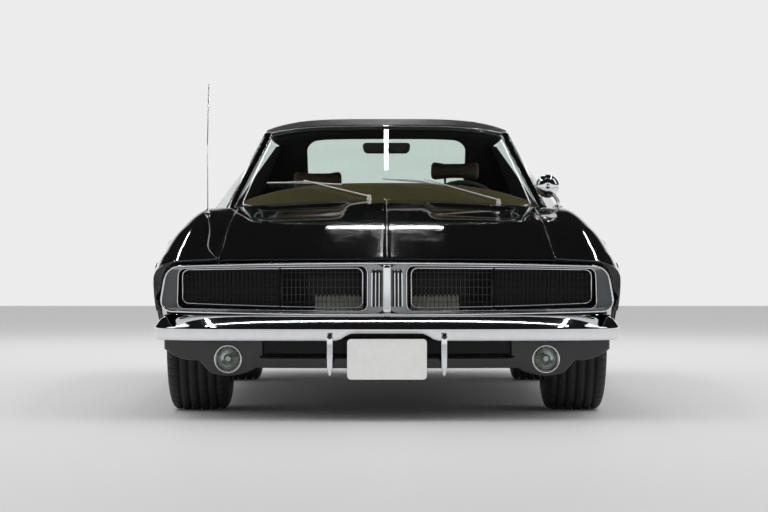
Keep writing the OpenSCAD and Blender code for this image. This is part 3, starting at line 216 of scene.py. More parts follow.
def roof_z(x, y):
    c, r, w = at(ROOF, CREST, y), at(ROOF, EDGE, y), at(ROOF, WIDTH, y)
    return c - (c - r) * min(1.0, abs(x) / w) ** ROOF_POWER


def roof_sweep(x, y):
    return SWEEP * (x / SWEEP_X) ** 2 * max(0, 1 - (y - HEADER_Y) / SWEEP_LENGTH) ** 2


# Materials: each has its variation and relief from nodes, and a slot name noted beside it

SLOT_OF = {}


def shader(tree, kind, **values):
    """A new node with some inputs set; an underscore in a key stands for a space."""
    n = tree.nodes.new("ShaderNode" + kind)
    for key, value in values.items():
        n.inputs[key.replace("_", " ")].default_value = value
    return n


def ramp_of(tree, *stops):
    ramp = shader(tree, "ValToRGB")
    for e, (position, color) in zip(ramp.color_ramp.elements, stops):
        e.position, e.color = position, (*color, 1)
    return ramp


def link(tree, *joins):
    for a, out, b, into in joins:
        tree.links.new(a.outputs[out], b.inputs[into])


def new_material(name, slot=None):
    m = bpy.data.materials.new(name)
    m.use_nodes = True
    SLOT_OF[m.name] = slot
    return m, m.node_tree


def material(name, slot, color, rough, vary, bump=None, metallic=0.0, coat=0.0, ior=1.5):
    """A Principled material; vary and bump are each an amount and the scale of its noise."""
    m, t = new_material(name, slot)
    b = t.nodes["Principled BSDF"]
    for key, value in (("Metallic", metallic), ("IOR", ior), ("Coat Weight", coat), ("Coat Roughness", 0.03)):
        b.inputs[key].default_value = value
    where = shader(t, "TexCoord")
    noise = shader(t, "TexNoise", Scale=vary[1], Detail=6.0)
    dark, light = [c * (1 - vary[0]) for c in color], [min(1, c * (1 + vary[0])) for c in color]
    ramp = ramp_of(t, (0.3, dark), (0.7, light))
    spread = shader(t, "MapRange", To_Min=rough * 0.85, To_Max=rough * 1.15)
    link(t, (where, "Object", noise, "Vector"), (noise, "Fac", ramp, "Fac"), (ramp, "Color", b, "Base Color"),
         (noise, "Fac", spread, "Value"), (spread, "Result", b, "Roughness"))
    if bump:
        grain = shader(t, "TexNoise", Scale=bump[1], Detail=3.0)
        relief = shader(t, "Bump", Strength=bump[0], Distance=0.001)
        link(t, (where, "Object", grain, "Vector"), (grain, "Fac", relief, "Height"),
             (relief, "Normal", b, "Normal"))
    return m


def glass(name, tint, mirror):
    """Clear glass: a tinted see-through shader, with a mirror share that grows towards the edges."""
    m, t = new_material(name, "glass")
    t.nodes.remove(t.nodes["Principled BSDF"])
    mix, clear, facing = (shader(t, kind) for kind in ("MixShader", "BsdfTransparent", "LayerWeight"))
    gloss = shader(t, "BsdfGlossy", Roughness=0.01)
    share = shader(t, "MapRange", To_Min=0.03, To_Max=mirror)
    power = shader(t, "Math")
    power.operation = "POWER"
    power.inputs[1].default_value = 3.0
    noise = shader(t, "TexNoise", Scale=3.0)
    ramp = ramp_of(t, (0.0, [c * 0.97 for c in tint]), (1.0, tint))
    link(t, (noise, "Fac", ramp, "Fac"), (ramp, "Color", clear, "Color"), (facing, "Facing", power, 0),
         (power, "Value", share, "Value"), (share, "Result", mix, "Fac"), (clear, "BSDF", mix, 1),
         (gloss, "BSDF", mix, 2), (mix, "Shader", t.nodes["Material Output"], "Surface"))
    return m


PAINT = material("gloss_black_paint", "paint", (0.0025, 0.0025, 0.003), 0.06, (0.25, 60), (0.006, 260),
                 coat=1.0, ior=1.3)
VINYL = material("grained_roof_cover", "roof_cover", (0.012, 0.012, 0.012), 0.42, (0.3, 90), (0.35, 700))
CHROME = material("chrome", "chrome", (0.86, 0.87, 0.89), 0.045, (0.03, 25), (0.008, 60), 1.0)
ARGENT = material("argent_paint", "chrome", (0.36, 0.37, 0.38), 0.42, (0.08, 300), (0.05, 900), 0.6)
DARK_ARGENT = material("argent_in_shade", "chrome", (0.11, 0.113, 0.118), 0.42, (0.08, 300), (0.05, 900), 0.6)
BLACK = material("satin_black", "black_trim", (0.012, 0.012, 0.013), 0.45, (0.3, 120), (0.08, 900))
RUBBER = material("tyre_rubber", "tyre", (0.016, 0.016, 0.017), 0.72, (0.3, 160), (0.25, 420))
UNDER = material("underbody", "underbody", (0.014, 0.014, 0.015), 0.6, (0.4, 30), (0.2, 220))
IRON = material("cast_iron", "running_gear", (0.05, 0.05, 0.052), 0.6, (0.3, 60), (0.3, 300), 0.5)
STEEL = material("exhaust_steel", "exhaust_steel", (0.34, 0.33, 0.32), 0.38, (0.2, 30), (0.05, 900), 1.0)
HIDE = material("brown_hide", "seat_hide", (0.058, 0.031, 0.012), 0.46, (0.25, 70), (0.3, 520))
DASH = material("dash_pad", "dash_trim", (0.080, 0.047, 0.008), 0.55, (0.2, 80), (0.3, 600))
CARPET = material("carpet", "underbody", (0.06, 0.035, 0.02), 0.9, (0.4, 260), (0.6, 1200))
WHEEL = material("cast_wheel", "wheel_metal", (0.55, 0.56, 0.58), 0.2, (0.06, 40), (0.03, 200), 1.0)
WHITE = material("plate_white", "dash_trim", (0.86, 0.86, 0.85), 0.35, (0.03, 30), (0.03, 900))
RED = material("red_lens", "lamp_red", (0.32, 0.012, 0.012), 0.12, (0.2, 80), (0.1, 300), coat=1.0)
AMBER = material("amber_lens", "lamp_glass", (0.55, 0.2, 0.02), 0.12, (0.2, 80), coat=1.0)
LENS = material("clear_lens", "lamp_glass", (0.55, 0.53, 0.5), 0.1, (0.1, 60), (0.1, 160), coat=1.0)
BOWL = material("lamp_bowl", "lamp_glass", (0.6, 0.6, 0.6), 0.16, (0.1, 60), (0.25, 110), 1.0)
# pale fins: painted light, the lit face of the radiator seen through the mesh
LIT_RADIATOR_PALE = material("cooler_fins", "exhaust_steel", (0.80, 0.78, 0.70), 0.5, (0.12, 80), (0.1, 900))
BARS = material("mesh_bars", "black_trim", (0.05, 0.05, 0.052), 0.4, (0.2, 120), (0.08, 900))
# near-black for the mesh behind the bars, and also painted shade in the valance's hollow
MESH = material("mesh_and_painted_shade_black", "black_trim", (0.004, 0.004, 0.0045), 0.5, (0.3, 120), (0.08, 900), ior=1.35)
LINING = material("dark_lining", "seat_hide", (0.016, 0.015, 0.014), 0.85, (0.3, 150), (0.4, 900))
WIPER = material("wiper_steel", "chrome", (0.80, 0.79, 0.77), 0.3, (0.05, 60), (0.03, 900), 0.5)
MIRROR = material("mirror_glass", "chrome", (0.8, 0.82, 0.84), 0.03, (0.02, 10), None, 1.0)
GLASS = glass("tinted_glass", (0.95, 0.995, 0.975), 0.5)
SIDE_GLASS = glass("side_glass", (0.985, 0.995, 0.99), 0.12)

# Mesh helpers; all of them take millimetres, and a mesh is a pair of points and faces


def in_metres(points):
    return [tuple(c * MM for c in p) for p in points]


def add(name, data):
    o = bpy.data.objects.new(name, data)
    bpy.context.scene.collection.objects.link(o)
    return o


def soften(o, width, segments, angle):
    b = o.modifiers.new("bevel", "BEVEL")
    b.width = width * MM
    b.segments = segments
    b.limit_method = "ANGLE"
    b.angle_limit = radians(angle)


def piece(name, verts, faces, mat, body="body", slot=None, replaces=(), smooth=True, bevel=0.0, solid=0.0):
    """A visible piece; the slot argument is not used."""
    me = bpy.data.meshes.new(name)
    me.from_pydata(in_metres(verts), [], faces)
    bm = bmesh.new()
    bm.from_mesh(me)
    bmesh.ops.remove_doubles(bm, verts=bm.verts, dist=1e-6)
    bmesh.ops.dissolve_degenerate(bm, dist=1e-6, edges=bm.edges)
    if not solid:
        bmesh.ops.recalc_face_normals(bm, faces=bm.faces)
    bm.to_mesh(me)
    bm.free()
    o = add(name, me)
    me.materials.append(mat)
    for p in me.polygons:
        p.use_smooth = smooth
    if solid:
        s = o.modifiers.new("solid", "SOLIDIFY")
        s.thickness = solid * MM
        s.offset = -1
    if bevel:
        soften(o, bevel, 3, 40)
    if smooth and (bevel or solid):
        o.modifiers.new("normals", "WEIGHTED_NORMAL").keep_sharp = True
    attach(o, body)
    slot or SLOT_OF[mat.name]
    if replaces:
        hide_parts(*replaces)
    return o


def flip_x(mesh):
    v, f = mesh
    return [(-p[0], p[1], p[2]) for p in v], [q[::-1] for q in f]


def both(name, mesh, mat, bodies=("body", "body"), replaces=(), **kw):
    """A piece on the left and its mirror image on the right."""
    for side, m, body in (("left", mesh, bodies[0]), ("right", flip_x(mesh), bodies[1])):
        o = piece(name + "_" + side, *m, mat, body=body, **kw)
        names = [n.format(side) for n in replaces]
        if names and (side == "right" or "{}" in replaces[0]):
            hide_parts(*names)


def dress(node, mat, bevel=0.0, sharp=35):
    """A CAD node that stays in view: its material and softened edges."""
    o = nodes[node]
    o.data.materials.clear()
    o.data.materials.append(mat)
    if bevel:
        soften(o, bevel, 2, sharp)


def grid_faces(m, n, flip=False):
    f = []
    for i in range(m - 1):
        for k in range(n - 1):
            q = (i * n + k, i * n + k + 1, (i + 1) * n + k + 1, (i + 1) * n + k)
            f.append(q[::-1] if flip else q)
    return f


def sheet(rows, flip=False):
    return [p for r in rows for p in r], grid_faces(len(rows), len(rows[0]), flip)


def grid(point, us, vs):
    return [[point(u, v) for u in us] for v in vs]


def ring_mesh(loops, closed=False):
    """Loops of equal length joined one to the next."""
    m, n = len(loops), len(loops[0])
    f = []
    for i in range(m if closed else m - 1):
        j = (i + 1) % m
        f += [(i * n + k, i * n + (k + 1) % n, j * n + (k + 1) % n, j * n + k) for k in range(n)]
    return [p for q in loops for p in q], f


def loft(loops):
    """Loops joined one to the next, with both ends closed."""
    v, f = ring_mesh(loops)
    n = len(loops[0])
    return v, f + [tuple(range(n))[::-1], tuple(range(len(v) - n, len(v)))]


def tube(path, r, sides=12, closed=False, flat=1.0):
    """Round (or flattened) bar along a path of points."""
    pts = [Vector(p) for p in path]
    m = len(pts)
    loops, u = [], None
    for i, p in enumerate(pts):
        a = pts[(i - 1) % m] if closed else pts[max(i - 1, 0)]
        b = pts[(i + 1) % m] if closed else pts[min(i + 1, m - 1)]
        d = (b - a).normalized()
        if u is None:
            u = d.cross(Vector((0, 0, 1)) if abs(d.z) < 0.9 else Vector((1, 0, 0))).normalized()
        else:
            u = (u - d * u.dot(d)).normalized()
        v = d.cross(u)
        loops.append([tuple(p + r * (cos(w) * u + flat * sin(w) * v)) for w in circle(sides)])
    return ring_mesh(loops, True) if closed else loft(loops)


def revolve(profile, origin, axis="x", n=96):
    """A closed profile of (along, radius) turned about an axis through origin."""
    loops = []
    for w in circle(n):
        loop = []
        for a, r in profile:
            p = [r * cos(w), r * sin(w)]
            p.insert("xyz".index(axis), a)
            loop.append(tuple(o + c for o, c in zip(origin, p)))
        loops.append(loop)
    return ring_mesh(loops, True)


def join(parts):
    verts, faces = [], []
    for v, f in parts:
        k = len(verts)
        verts += v
        faces += [tuple(i + k for i in q) for q in f]
    return verts, faces


def box(x, y, z):
    v = [(a, b, c) for a in x for b in y for c in z]
    return v, [(0, 1, 3, 2), (4, 6, 7, 5), (0, 4, 5, 1), (2, 3, 7, 6), (0, 2, 6, 4), (1, 5, 7, 3)]


def rounded(x0, x1, z0, z1, r, n=8, along=40, up=6):
    """Points (x, z) of a rounded rectangle, with points along its straight sides."""
    corners = ((x1 - r, z0 + r), (x1 - r, z1 - r), (x0 + r, z1 - r), (x0 + r, z0 + r))
    loop = []
    for k, (cx, cz) in enumerate(corners):
        for i in range(n + 1):
            a = radians(90 * (k - 1 + i / n))
            loop.append((cx + r * cos(a), cz + r * sin(a)))
        a = radians(90 * k)
        cx, cz = corners[(k + 1) % 4]
        p, q = loop[-1], (cx + r * cos(a), cz + r * sin(a))
        loop += [between(p, q, t) for t in steps(0, 1, along if k % 2 else up)[1:-1]]
    return loop


def raised(x0, x1, z0, z1, r, profile, place, along, up=6):
    """A rounded plate: its outline drawn in by o at depth d, for each (o, d) of the profile."""
    loops = []
    for o, d in profile:
        loop = rounded(x0 + o, x1 - o, z0 + o, z1 - o, r - o, along=along, up=up)
        loops.append([place(x, z, d) for x, z in loop])
    return loft(loops)


def smooth(points, n=4):
    """A curve through the points."""
    out = []
    for i in range(len(points) - 1):
        p = [points[min(max(k, 0), len(points) - 1)] for k in (i - 1, i, i + 1, i + 2)]
        for t in steps(0, 1, n)[:-1]:
            out.append(tuple(
                0.5 * (2 * b + (c - a) * t + (2 * a - 5 * b + 4 * c - d) * t**2
                       + (3 * b - a - 3 * c + d) * t**3)
                for a, b, c, d in zip(*p)))
    return out + [points[-1]]


# Body panels


def arch_z(y, axle, r):
    d = abs(y - axle)
    return HUB_Z + sqrt(r * r - d * d) if d < r else 0.0


def side_ys(y0, y1, axle, r, n):
    """Stations along the car, close together at the wheel opening's ends."""
    ys = [y for y in steps(y0, y1, n) if abs(y - axle) > r + 4]
    ys += [axle - r - 1.0, axle + r + 1.0]
    ys += [axle - r * cos(pi * i / 40) * 0.9995 for i in range(41)]
    return sorted(y for y in set(ys) if y0 <= y <= y1)


def with_ledge(line, end):
    """The section with a ledge from its shoulder in to the end point."""
    return line + [between(line[-1], end, t) for t in steps(0, 1, 8)[1:]]


def fender_row(y):
    line = with_ledge(section(y, arch_z(y, FRONT_AXLE, FRONT_ARCH_R)), (FENDER_X, at(HOOD, EDGE, y)))
    return [(x, nose(x, y), z) for x, z in line]


def quarter_row(y):
    line = section(y, arch_z(y, REAR_AXLE, REAR_ARCH_R))
    x, z = line[-1]
    end = (x - 8, z) if y <= SAIL_Y0 - 10 else (QUARTER_X, at(DECK, EDGE, y))
    return [(x, y, z) for x, z in with_ledge(line, end)]


def door_ring(y):
    """One section of the door: outer skin from the sill up, then the inner wall back down."""
    line = section(y, DOOR_Z0)
    inner = lerp(DOOR_Y0 + 6, DOOR_Y1 - 42, (y - DOOR_Y0) / (DOOR_Y1 - DOOR_Y0))
    wall = [(CABIN_X, inner, lerp(line[-1][1], DOOR_Z0, t)) for t in steps(0, 1, 12)]
    return [(x, y, z) for x, z in line] + wall


fender_ys = side_ys(NOSE_Y, DOOR_Y0 - GAP, FRONT_AXLE, FRONT_ARCH_R, 70)
quarter_ys = side_ys(DOOR_Y1 + GAP, TAIL_Y, REAR_AXLE, REAR_ARCH_R, 80)
quarter_ys = sorted(quarter_ys + [SAIL_Y0 - 10, SAIL_Y0 - 9])
for name, mesh, node in (("fender", sheet([fender_row(y) for y in fender_ys], True), "front_fenders"),
                         ("quarter", sheet([quarter_row(y) for y in quarter_ys], True), "quarter_panels")):
    both(name, mesh, PAINT, solid=7, bevel=2.5, replaces=[node])
door = loft([door_ring(y) for y in steps(DOOR_Y0, DOOR_Y1, 50)])
both("door_shell", door, PAINT, bodies=DOORS, bevel=2.5, replaces=["door_{}"])
HOOD_LIP, HOOD_LIP_DROP = 26.0, 9.0


def hood_point(x, y):
    """The hood with its rounded front lip and the crease along its middle."""
    t = clamp((y - NOSE_Y) / HOOD_LIP)
    drop = HOOD_LIP_DROP * (1 - sqrt(max(0.0, 1 - (1 - t) ** 2)))
    return x, nose(x, y), hood_z(x, y) - drop + 3.0 * exp(-((x / 7) ** 2))


def lid_point(x, y):
    return x, y, deck_z(x, y) + 16 * max(0, (y - DECK_Y1 + 260) / 260) ** 2


def ws_base(x):
    return x, WS_Y0 + 150 * (x / WS_HALF) ** 2, 914 - 26 * (x / WS_HALF) ** 2


def cowl_point(x, t):
    y0, e = HOOD_Y1 + GAP, ws_base(x)
    return x, lerp(y0, min(e[1] - SEAT, DOOR_Y0 + 18), t), lerp(hood_z(x, y0), e[2] - 2, t)


def deck_point(x, y):
    return x, y, deck_z(x, y) - 10


hood_xs = sorted(set(steps(-HOOD_X, HOOD_X, 90) + steps(-22, 22, 22)))
hood_ys = [NOSE_Y, NOSE_Y + 3, NOSE_Y + 8, NOSE_Y + 16] + steps(NOSE_Y + HOOD_LIP, HOOD_Y1, 110)
piece("hood_skin", *sheet(grid(hood_point, hood_xs, hood_ys)), PAINT, body="hood", solid=9, bevel=2.5,
      replaces=["hood"])
lid = grid(lid_point, steps(-DECK_X, DECK_X, 50), steps(DECK_Y0, DECK_Y1, 60))
piece("trunk_skin", *sheet(lid), PAINT, body="trunk_lid", solid=20, bevel=3, replaces=["trunk_lid"])
cowl = grid(cowl_point, steps(-FENDER_X + 1, FENDER_X - 1, 60), steps(0, 1, 8))
piece("cowl_skin", *sheet(cowl), PAINT, solid=12, bevel=2, replaces=["cowl"])
deck = grid(deck_point, steps(-QUARTER_X + 1, QUARTER_X - 1, 40), steps(DECK_Y0 - 94, DECK_Y0 - GAP, 8))
piece("deck_skin", *sheet(deck), PAINT, solid=12, bevel=2, replaces=["deck_panel"])

# Roof covering, pillars and sail panels

ROOF_SEAM_X = 432.0


def roof_point(t, y):
    x = at(ROOF, WIDTH, y) * t
    seam = sum(2.4 * exp(-((x - s) / 5) ** 2) for s in (-ROOF_SEAM_X, ROOF_SEAM_X))
    return x, y + roof_sweep(x, y), roof_z(x, y) + seam


roof = grid(roof_point, steps(-1, 1, 72), steps(HEADER_Y, ROOF_Y1, 60))
piece("roof_cover", *sheet(roof), VINYL, solid=28, bevel=4, replaces=["roof"])


def quarter_top(x, y):
    s = shoulder(y)
    return lerp(s[1], at(DECK, EDGE, y), (s[0] - x) / (s[0] - QUARTER_X))


def sail_base(s, depth):
    y = lerp(SAIL_Y0 + 20, SAIL_Y1, s)
    x = shoulder(y)[0] - 8 - depth
    return x, y, quarter_top(x, y) + 0.6


def sail_crest(s, depth):
    end_x = shoulder(SAIL_Y1)[0] - 40
    z0, z1 = at(ROOF, EDGE, ROOF_Y1) - ROOF_T - SEAT, quarter_top(end_x, SAIL_Y1) + 14
    x = lerp(at(ROOF, WIDTH, ROOF_Y1), end_x, s) - depth
    return x, lerp(ROOF_Y1 + 4, SAIL_Y1, s), lerp(z0, z1, s**0.92)


def sail_row(s):
    row = []
    for t in steps(0, 1, 14):
        x, y, z = between(sail_base(s, 0), sail_crest(s, 0), t)
        row.append((x + 14 * t * (1 - t), y, z))
    return row + [between(sail_crest(s, 26), sail_base(s, 116), t) for t in steps(0, 1, 8)]


PILLAR_TOP = (WS_TOP_HALF, HEADER_Y + roof_sweep(WS_TOP_HALF, HEADER_Y) - 4,
              roof_z(WS_TOP_HALF, HEADER_Y) - 15)
PILLAR_FOOT = ws_base(WS_HALF)
PILLAR_END = (at(ROOF, EDGE, HEADER_Y) - 4 - PILLAR_FOOT[2]) / (PILLAR_TOP[2] - PILLAR_FOOT[2])
PILLAR_LOOP = ((0, -6), (24, 3), (44, 16), (42, 36), (38, 54), (20, 48), (0, 42))


def pillar_edge(t, dx, dy):
    return shifted(between(PILLAR_FOOT, PILLAR_TOP, t), dx, dy, 0)


both("sail_panel", loft([sail_row(s) for s in steps(0, 1, 40)]), VINYL, bevel=3)
pillar = [[pillar_edge(t, 1.5 + dx, dy) for dx, dy in PILLAR_LOOP] for t in steps(0, PILLAR_END, 16)]
both("windshield_pillar", loft(pillar), PAINT, bevel=3)

# Glass


def ws_top(x):
    y = HEADER_Y + roof_sweep(x, HEADER_Y) - SEAT + WS_NORMAL[1] * GLASS_T
    return x, y, roof_z(x, HEADER_Y) - 13


def seated_base(x):
    return shifted(ws_base(x), 0, 0, SEAT)


RW_HALF, RW_TOP_HALF, RW_WAIST = QUARTER_X + 38, ROOF[4][WIDTH] - 40, 8.0


def rear_half(t):
    return lerp(RW_HALF, RW_TOP_HALF, t) - RW_WAIST * 4 * t * (1 - t)


def rw_base(x):
    return x, DECK_Y0 - 84, at(DECK, CREST, DECK_Y0) + 2 - 8 * (x / RW_HALF) ** 2


def rw_top(x):
    return x, ROOF_Y1 + SEAT + 0.58 * GLASS_T, roof_z(x, ROOF_Y1) - 13


def pane(name, base, top, half, top_half, bulge, node, flip, nx=40, nt=16):
    """A sheet of glass between two curves, swollen in its middle."""
    def point(u, t):
        swell = (u * bulge[0], bulge[1], bulge[2])
        flat = between(base(u * half), top(u * top_half), t)
        return tuple(c + 4 * t * (1 - t) * s for c, s in zip(flat, swell))

    rows = grid(point, steps(-1, 1, nx), steps(0, 1, nt))
    piece(name, *sheet(rows, flip), GLASS, solid=GLASS_T, replaces=[node])


pane("windshield_glass", seated_base, ws_top, WS_HALF, WS_TOP_HALF, WS_BULGE, "windshield", False)
pane("rear_glass", rw_base, rw_top, RW_HALF, RW_TOP_HALF, (-RW_WAIST, 0, 0), "rear_window", True)
for n in ("quarter_glass", "door_glass_left", "door_glass_right"):
    dress(n, SIDE_GLASS)

# Front end: grille, lamp covers, bumper, valance and lamps

GRILLE_MID, GRILLE_LEAN, RECESS = 534.0, 0.00019, 58.0
COVER_X, COVER_T = (432.0, 822.0), 14.0
RING_X, RING_Z0, RING_Z1, RING_R, RING_W = 897, 450, 619, 46, 10
OPENING, OPENING_R, OPENING_LEAN = (78, 842, 456, 615), 26, 0.00004
END_X = 836  # the panel's shaded end begins here


def nose_face(x):
    return NOSE_Y + bow(x)


COVER_Y = nose_face(COVER_X[0]) + RECESS
COVER_SLOPE = (nose_face(COVER_X[1]) - nose_face(COVER_X[0])) / (COVER_X[1] - COVER_X[0])
LAMP_PANEL_Y = COVER_Y + 262


def mesh_face(x):
    """Plane of the mesh: square across the fixed half, slanted along the cover."""
    return COVER_Y + max(0.0, x - COVER_X[0]) * COVER_SLOPE


def on_grille(x, z, lean=GRILLE_LEAN):
    """The grille is taller at the middle of the car, and its ends lean."""
    tall = 528.7 + (z - GRILLE_MID) * (1 + 0.145 * (1 - (x / 870) ** 2))
    return x * (1 - lean * (z - GRILLE_MID)), tall


def grille_loop(x0, x1, z0, z1, r, depth, along=40, lean=GRILLE_LEAN):
    loop = [on_grille(x, z, lean) for x, z in rounded(x0, x1, z0, z1, r, along=along)]
    return [(x, nose_face(x) + depth, z) for x, z in loop]


def opening_loop(o, depth):
    x0, x1, z0, z1 = OPENING
    return grille_loop(x0 - o, x1 + o, z0 - o * 0.3, z1 + o * 0.2, OPENING_R + o, depth, lean=OPENING_LEAN)


RING = ((0, 8), (0.5, 1), (3, -2.5), (6, -3.5), (9, -1.5), (RING_W, 4), (RING_W, 34), (0, 34))
ring_loops = [grille_loop(-RING_X - o, RING_X + o, RING_Z0 - o, RING_Z1 + o, RING_R + o, d, 90)
              for o, d in RING]
piece("grille_ring", *ring_mesh(ring_loops, True), CHROME, replaces=["grille_surround"])
panel_loops = [grille_loop(0.5, RING_X, RING_Z0, RING_Z1, 44, 8)]
panel_loops += [opening_loop(o, d) for o, d in ((16, 11), (6, 13), (1, 16), (0, 24), (0, 74))]
panel_v, panel_f = ring_mesh(panel_loops)
for name, mat, outer in (("grille_panel", ARGENT, False), ("grille_end", DARK_ARGENT, True)):
    kept = [q for q in panel_f if (min(panel_v[i][0] for i in q) > END_X) == outer]
    both(name, (panel_v, kept), mat)
both("grille_lip", tube(opening_loop(0, 13), 2.4, 8, True), CHROME)


def ring_edge(x, z):
    """The point of the ring's outer edge next to a point of the fender's front edge."""
    cx, cz = min(x, RING_X - RING_R), min(max(z, RING_Z0 + RING_R), RING_Z1 - RING_R)
    k = (RING_R + RING_W) / hypot(x - cx, z - cz)
    x, z = on_grille(cx + (x - cx) * k, cz + (z - cz) * k)
    return x, nose_face(x) + 22, z


cap = [[between(p, ring_edge(p[0], p[2]), t) for t in steps(0, 1, 4)] for p in fender_row(NOSE_Y)]
both("nose_cap", sheet(cap), PAINT, solid=3)

# Divider: a bright ridge with three ribs and dark slots on each side; the slots are black boxes, painted
# shade of their recesses


def ridge_point(a, z):
    x, tall = on_grille(18 * cos(a), z)
    return x, nose_face(x) + 9 - 13 * sin(a), tall


ridge = grid(ridge_point, steps(0, pi, 12), steps(452, 617, 16))
piece("grille_ridge", *loft(ridge), CHROME)
ribs, slot_shades = [], []
for x in (31, 45.5, 60):
    line = [on_grille(x, z) for z in steps(470, 602, 10)]
    ribs.append(tube([(p, nose_face(p) + 8, z) for p, z in line], 4.0, 10))
# black boxes in the slots: painted shade
for x in (24, 38, 52.5):
    (p, z0), (_, z1) = on_grille(x, 472), on_grille(x, 600)
    slot_shades.append(box((p - 2.8, p + 2.8), (nose_face(p) + 3, nose_face(p) + 9), (z0, z1)))
both("grille_ribs", join(ribs), CHROME)
both("grille_slot_shade", join(slot_shades), BLACK)


def frame_z(x):
    """Lower and upper edge of the thin bright frame in front of the mesh."""
    return 453 + 18 * (x / 820) ** 2, 612 - 7 * (x / 820) ** 2


def frame_path(x_open, x_end, r=26):
    """Three sides of the bright frame, from its open end round x_end and back."""
    s = 1 if x_end > x_open else -1
    pts = [(x, 1) for x in steps(x_open, x_end - s * r, 14)]
    pts += [(x_end - s * r + s * r * sin(a), cos(a)) for a in steps(0, pi, 12)]
    pts += [(x, -1) for x in steps(x_end - s * r, x_open, 14)]
    path = []
    for x, side in pts:
        low, top = frame_z(x)
        mid, half = (low + top) / 2, (top - low) / 2
        z = mid + side * half if abs(side) == 1 else mid + copysign(half - r, side) + r * side
        path.append((x, mesh_face(x) - 7, z))
    return path


def mesh_bars(x0, x1, y, t, low=444, top=620):
    """Upright and level bars of the mesh between x0 and x1."""
    bars = []
    for x in steps(x0, x1, round((x1 - x0) / 17.3)):
        z0, z1 = on_grille(x, low)[1], on_grille(x, top)[1]
        bars.append(box((x - 1.1, x + 1.1), (y(x), y(x) + t), (z0, z1)))
    for z in steps(475, 594, 4):
        line = [(x, y(x) + t / 2 + 1, z) for x in steps(x0, x1, 4)]
        bars.append(tube(line, 1.3, 6))
    return join(bars)


both("grille_bars", mesh_bars(84, 420, mesh_face, 7), BARS, replaces=["grille_mesh"])
both("grille_frame", tube(frame_path(427, 97), 3.0, 8), CHROME)
both("cover_frame", tube(frame_path(433, 826), 3.0, 8), CHROME, bodies=COVERS)
back = []
for x in steps(*COVER_X, 12):
    y, r = mesh_face(x), max(0.0, (x - 800) / 22) ** 2 * 16
    back.append([(x, y, 458 + r), (x, y, 609 - r), (x, y + COVER_T, 609 - r), (x, y + COVER_T, 458 + r)])
both("cover_back", loft(back), MESH, bodies=COVERS, bevel=2, replaces=["headlamp_cover_{}"])
cover_bars = mesh_bars(440, 815, lambda x: mesh_face(x) - 3.5, 3.5, 462, 604)
both("cover_bars", cover_bars, MESH, bodies=COVERS)
cheeks = [box((x, x + 4), (mesh_face(x) - 2, mesh_face(x) + 20), (452, 616)) for x in (423.5, 827)]
both("cover_cheeks", join(cheeks), BLACK)

# Headlamps behind the covers, each a bowl with a lens and a bright rim
HEADLAMP_R = 70
HEADLAMP = ((0, 66), (-10, HEADLAMP_R), (-52, HEADLAMP_R), (-58, 67), (-54, 60), (-63, 42), (-68, 20),
            (-70, 1), (-40, 1), (-6, 40))
lamps, rims = [], []
for x in (COVER_X[0] + 104, COVER_X[1] - 110):
    lamps.append(revolve(HEADLAMP, (x, LAMP_PANEL_Y, GRILLE_MID), "y", 48))
    rim = [(x + HEADLAMP_R * cos(a), LAMP_PANEL_Y - 56, GRILLE_MID + HEADLAMP_R * sin(a))
           for a in circle(40)]
    rims.append(tube(rim, 3.5, 8, True))
both("headlamp", join(lamps), LENS, replaces=["headlamps"])
both("headlamp_rims", join(rims), CHROME)

# Ribbed block behind the fixed mesh, on the radiator; its pale colour is painted light, standing in for the
# lit lower part of the radiator
fins = [box((x, x + 7), (LAMP_PANEL_Y - 46, LAMP_PANEL_Y + 11), (372, 500)) for x in steps(98, 286, 11)]
fins.append(box((96, 295), (LAMP_PANEL_Y - 30, LAMP_PANEL_Y + 11), (366, 494)))
both("cooler", join(fins), LIT_RADIATOR_PALE)


def bumper_path(x, face, way, wrap, sweep):
    c = max(0.0, 1 - (abs(x) / BUMPER_HALF) ** 4) ** 0.5
    return x, face + way * (wrap * (1 - c**0.5) + sweep * (x / BUMPER_HALF) ** 2)


def bumper(name, face, way, wrap, sweep, front, back, lift, node):
    half = [BUMPER_HALF * sin(radians(a)) ** 0.5 for a in (86, 83, 79, 75, 70, 65, 60, 54)]
    half += steps(850, 20, 40)
    xs = [-x for x in half] + [0] + half[::-1]
    path = [Vector((*bumper_path(x, face, way, wrap, sweep), 0)) for x in xs]
    rows = []
    for i, p in enumerate(path):
        d = (path[min(i + 1, len(path) - 1)] - path[max(i - 1, 0)]).normalized()
        out = way * Vector((d.y, -d.x, 0))
        rows.append([(*(p - o * out)[:2], z + lift(p.x, z)) for o, z in front + back[::-1]])
    piece(name, *loft(rows), CHROME, replaces=[node])


FRONT_FACE = smooth([(50, 424), (42, 422), (32, 413), (18, 396), (6, 380), (0.5, 371), (0, 360), (2, 340),
                     (6, 327), (16, 320), (40, 321)])
FRONT_BACK = smooth([(54, 417), (47, 415), (38, 407), (26, 391), (15, 376), (10, 368), (10, 359), (12, 343),
                     (15, 334), (22, 329), (44, 328)])
REAR_FACE = smooth([(40, 564), (16, 560), (4, 545), (0, 522), (5, 500), (3, 470), (9, 440), (24, 428),
                    (40, 430)])
REAR_BACK = smooth([(44, 557), (24, 551), (14, 540), (10, 522), (14, 500), (13, 472), (18, 448), (28, 438),
                    (44, 437)])


def plate_notch(x, z):
    return 29 * shelf((204 - abs(x)) / 66) * clamp((362 - z) / 34)


bumper("front_bumper_blade", NOSE_END + 24, 1, 300, 44, FRONT_FACE, FRONT_BACK, plate_notch, "front_bumper")
bumper("rear_bumper_blade", TAIL_END, -1, 220, 40, REAR_FACE, REAR_BACK, lambda x, z: 0.0, "rear_bumper")


def blunt(c):
    return copysign(abs(c) ** 0.6, c)


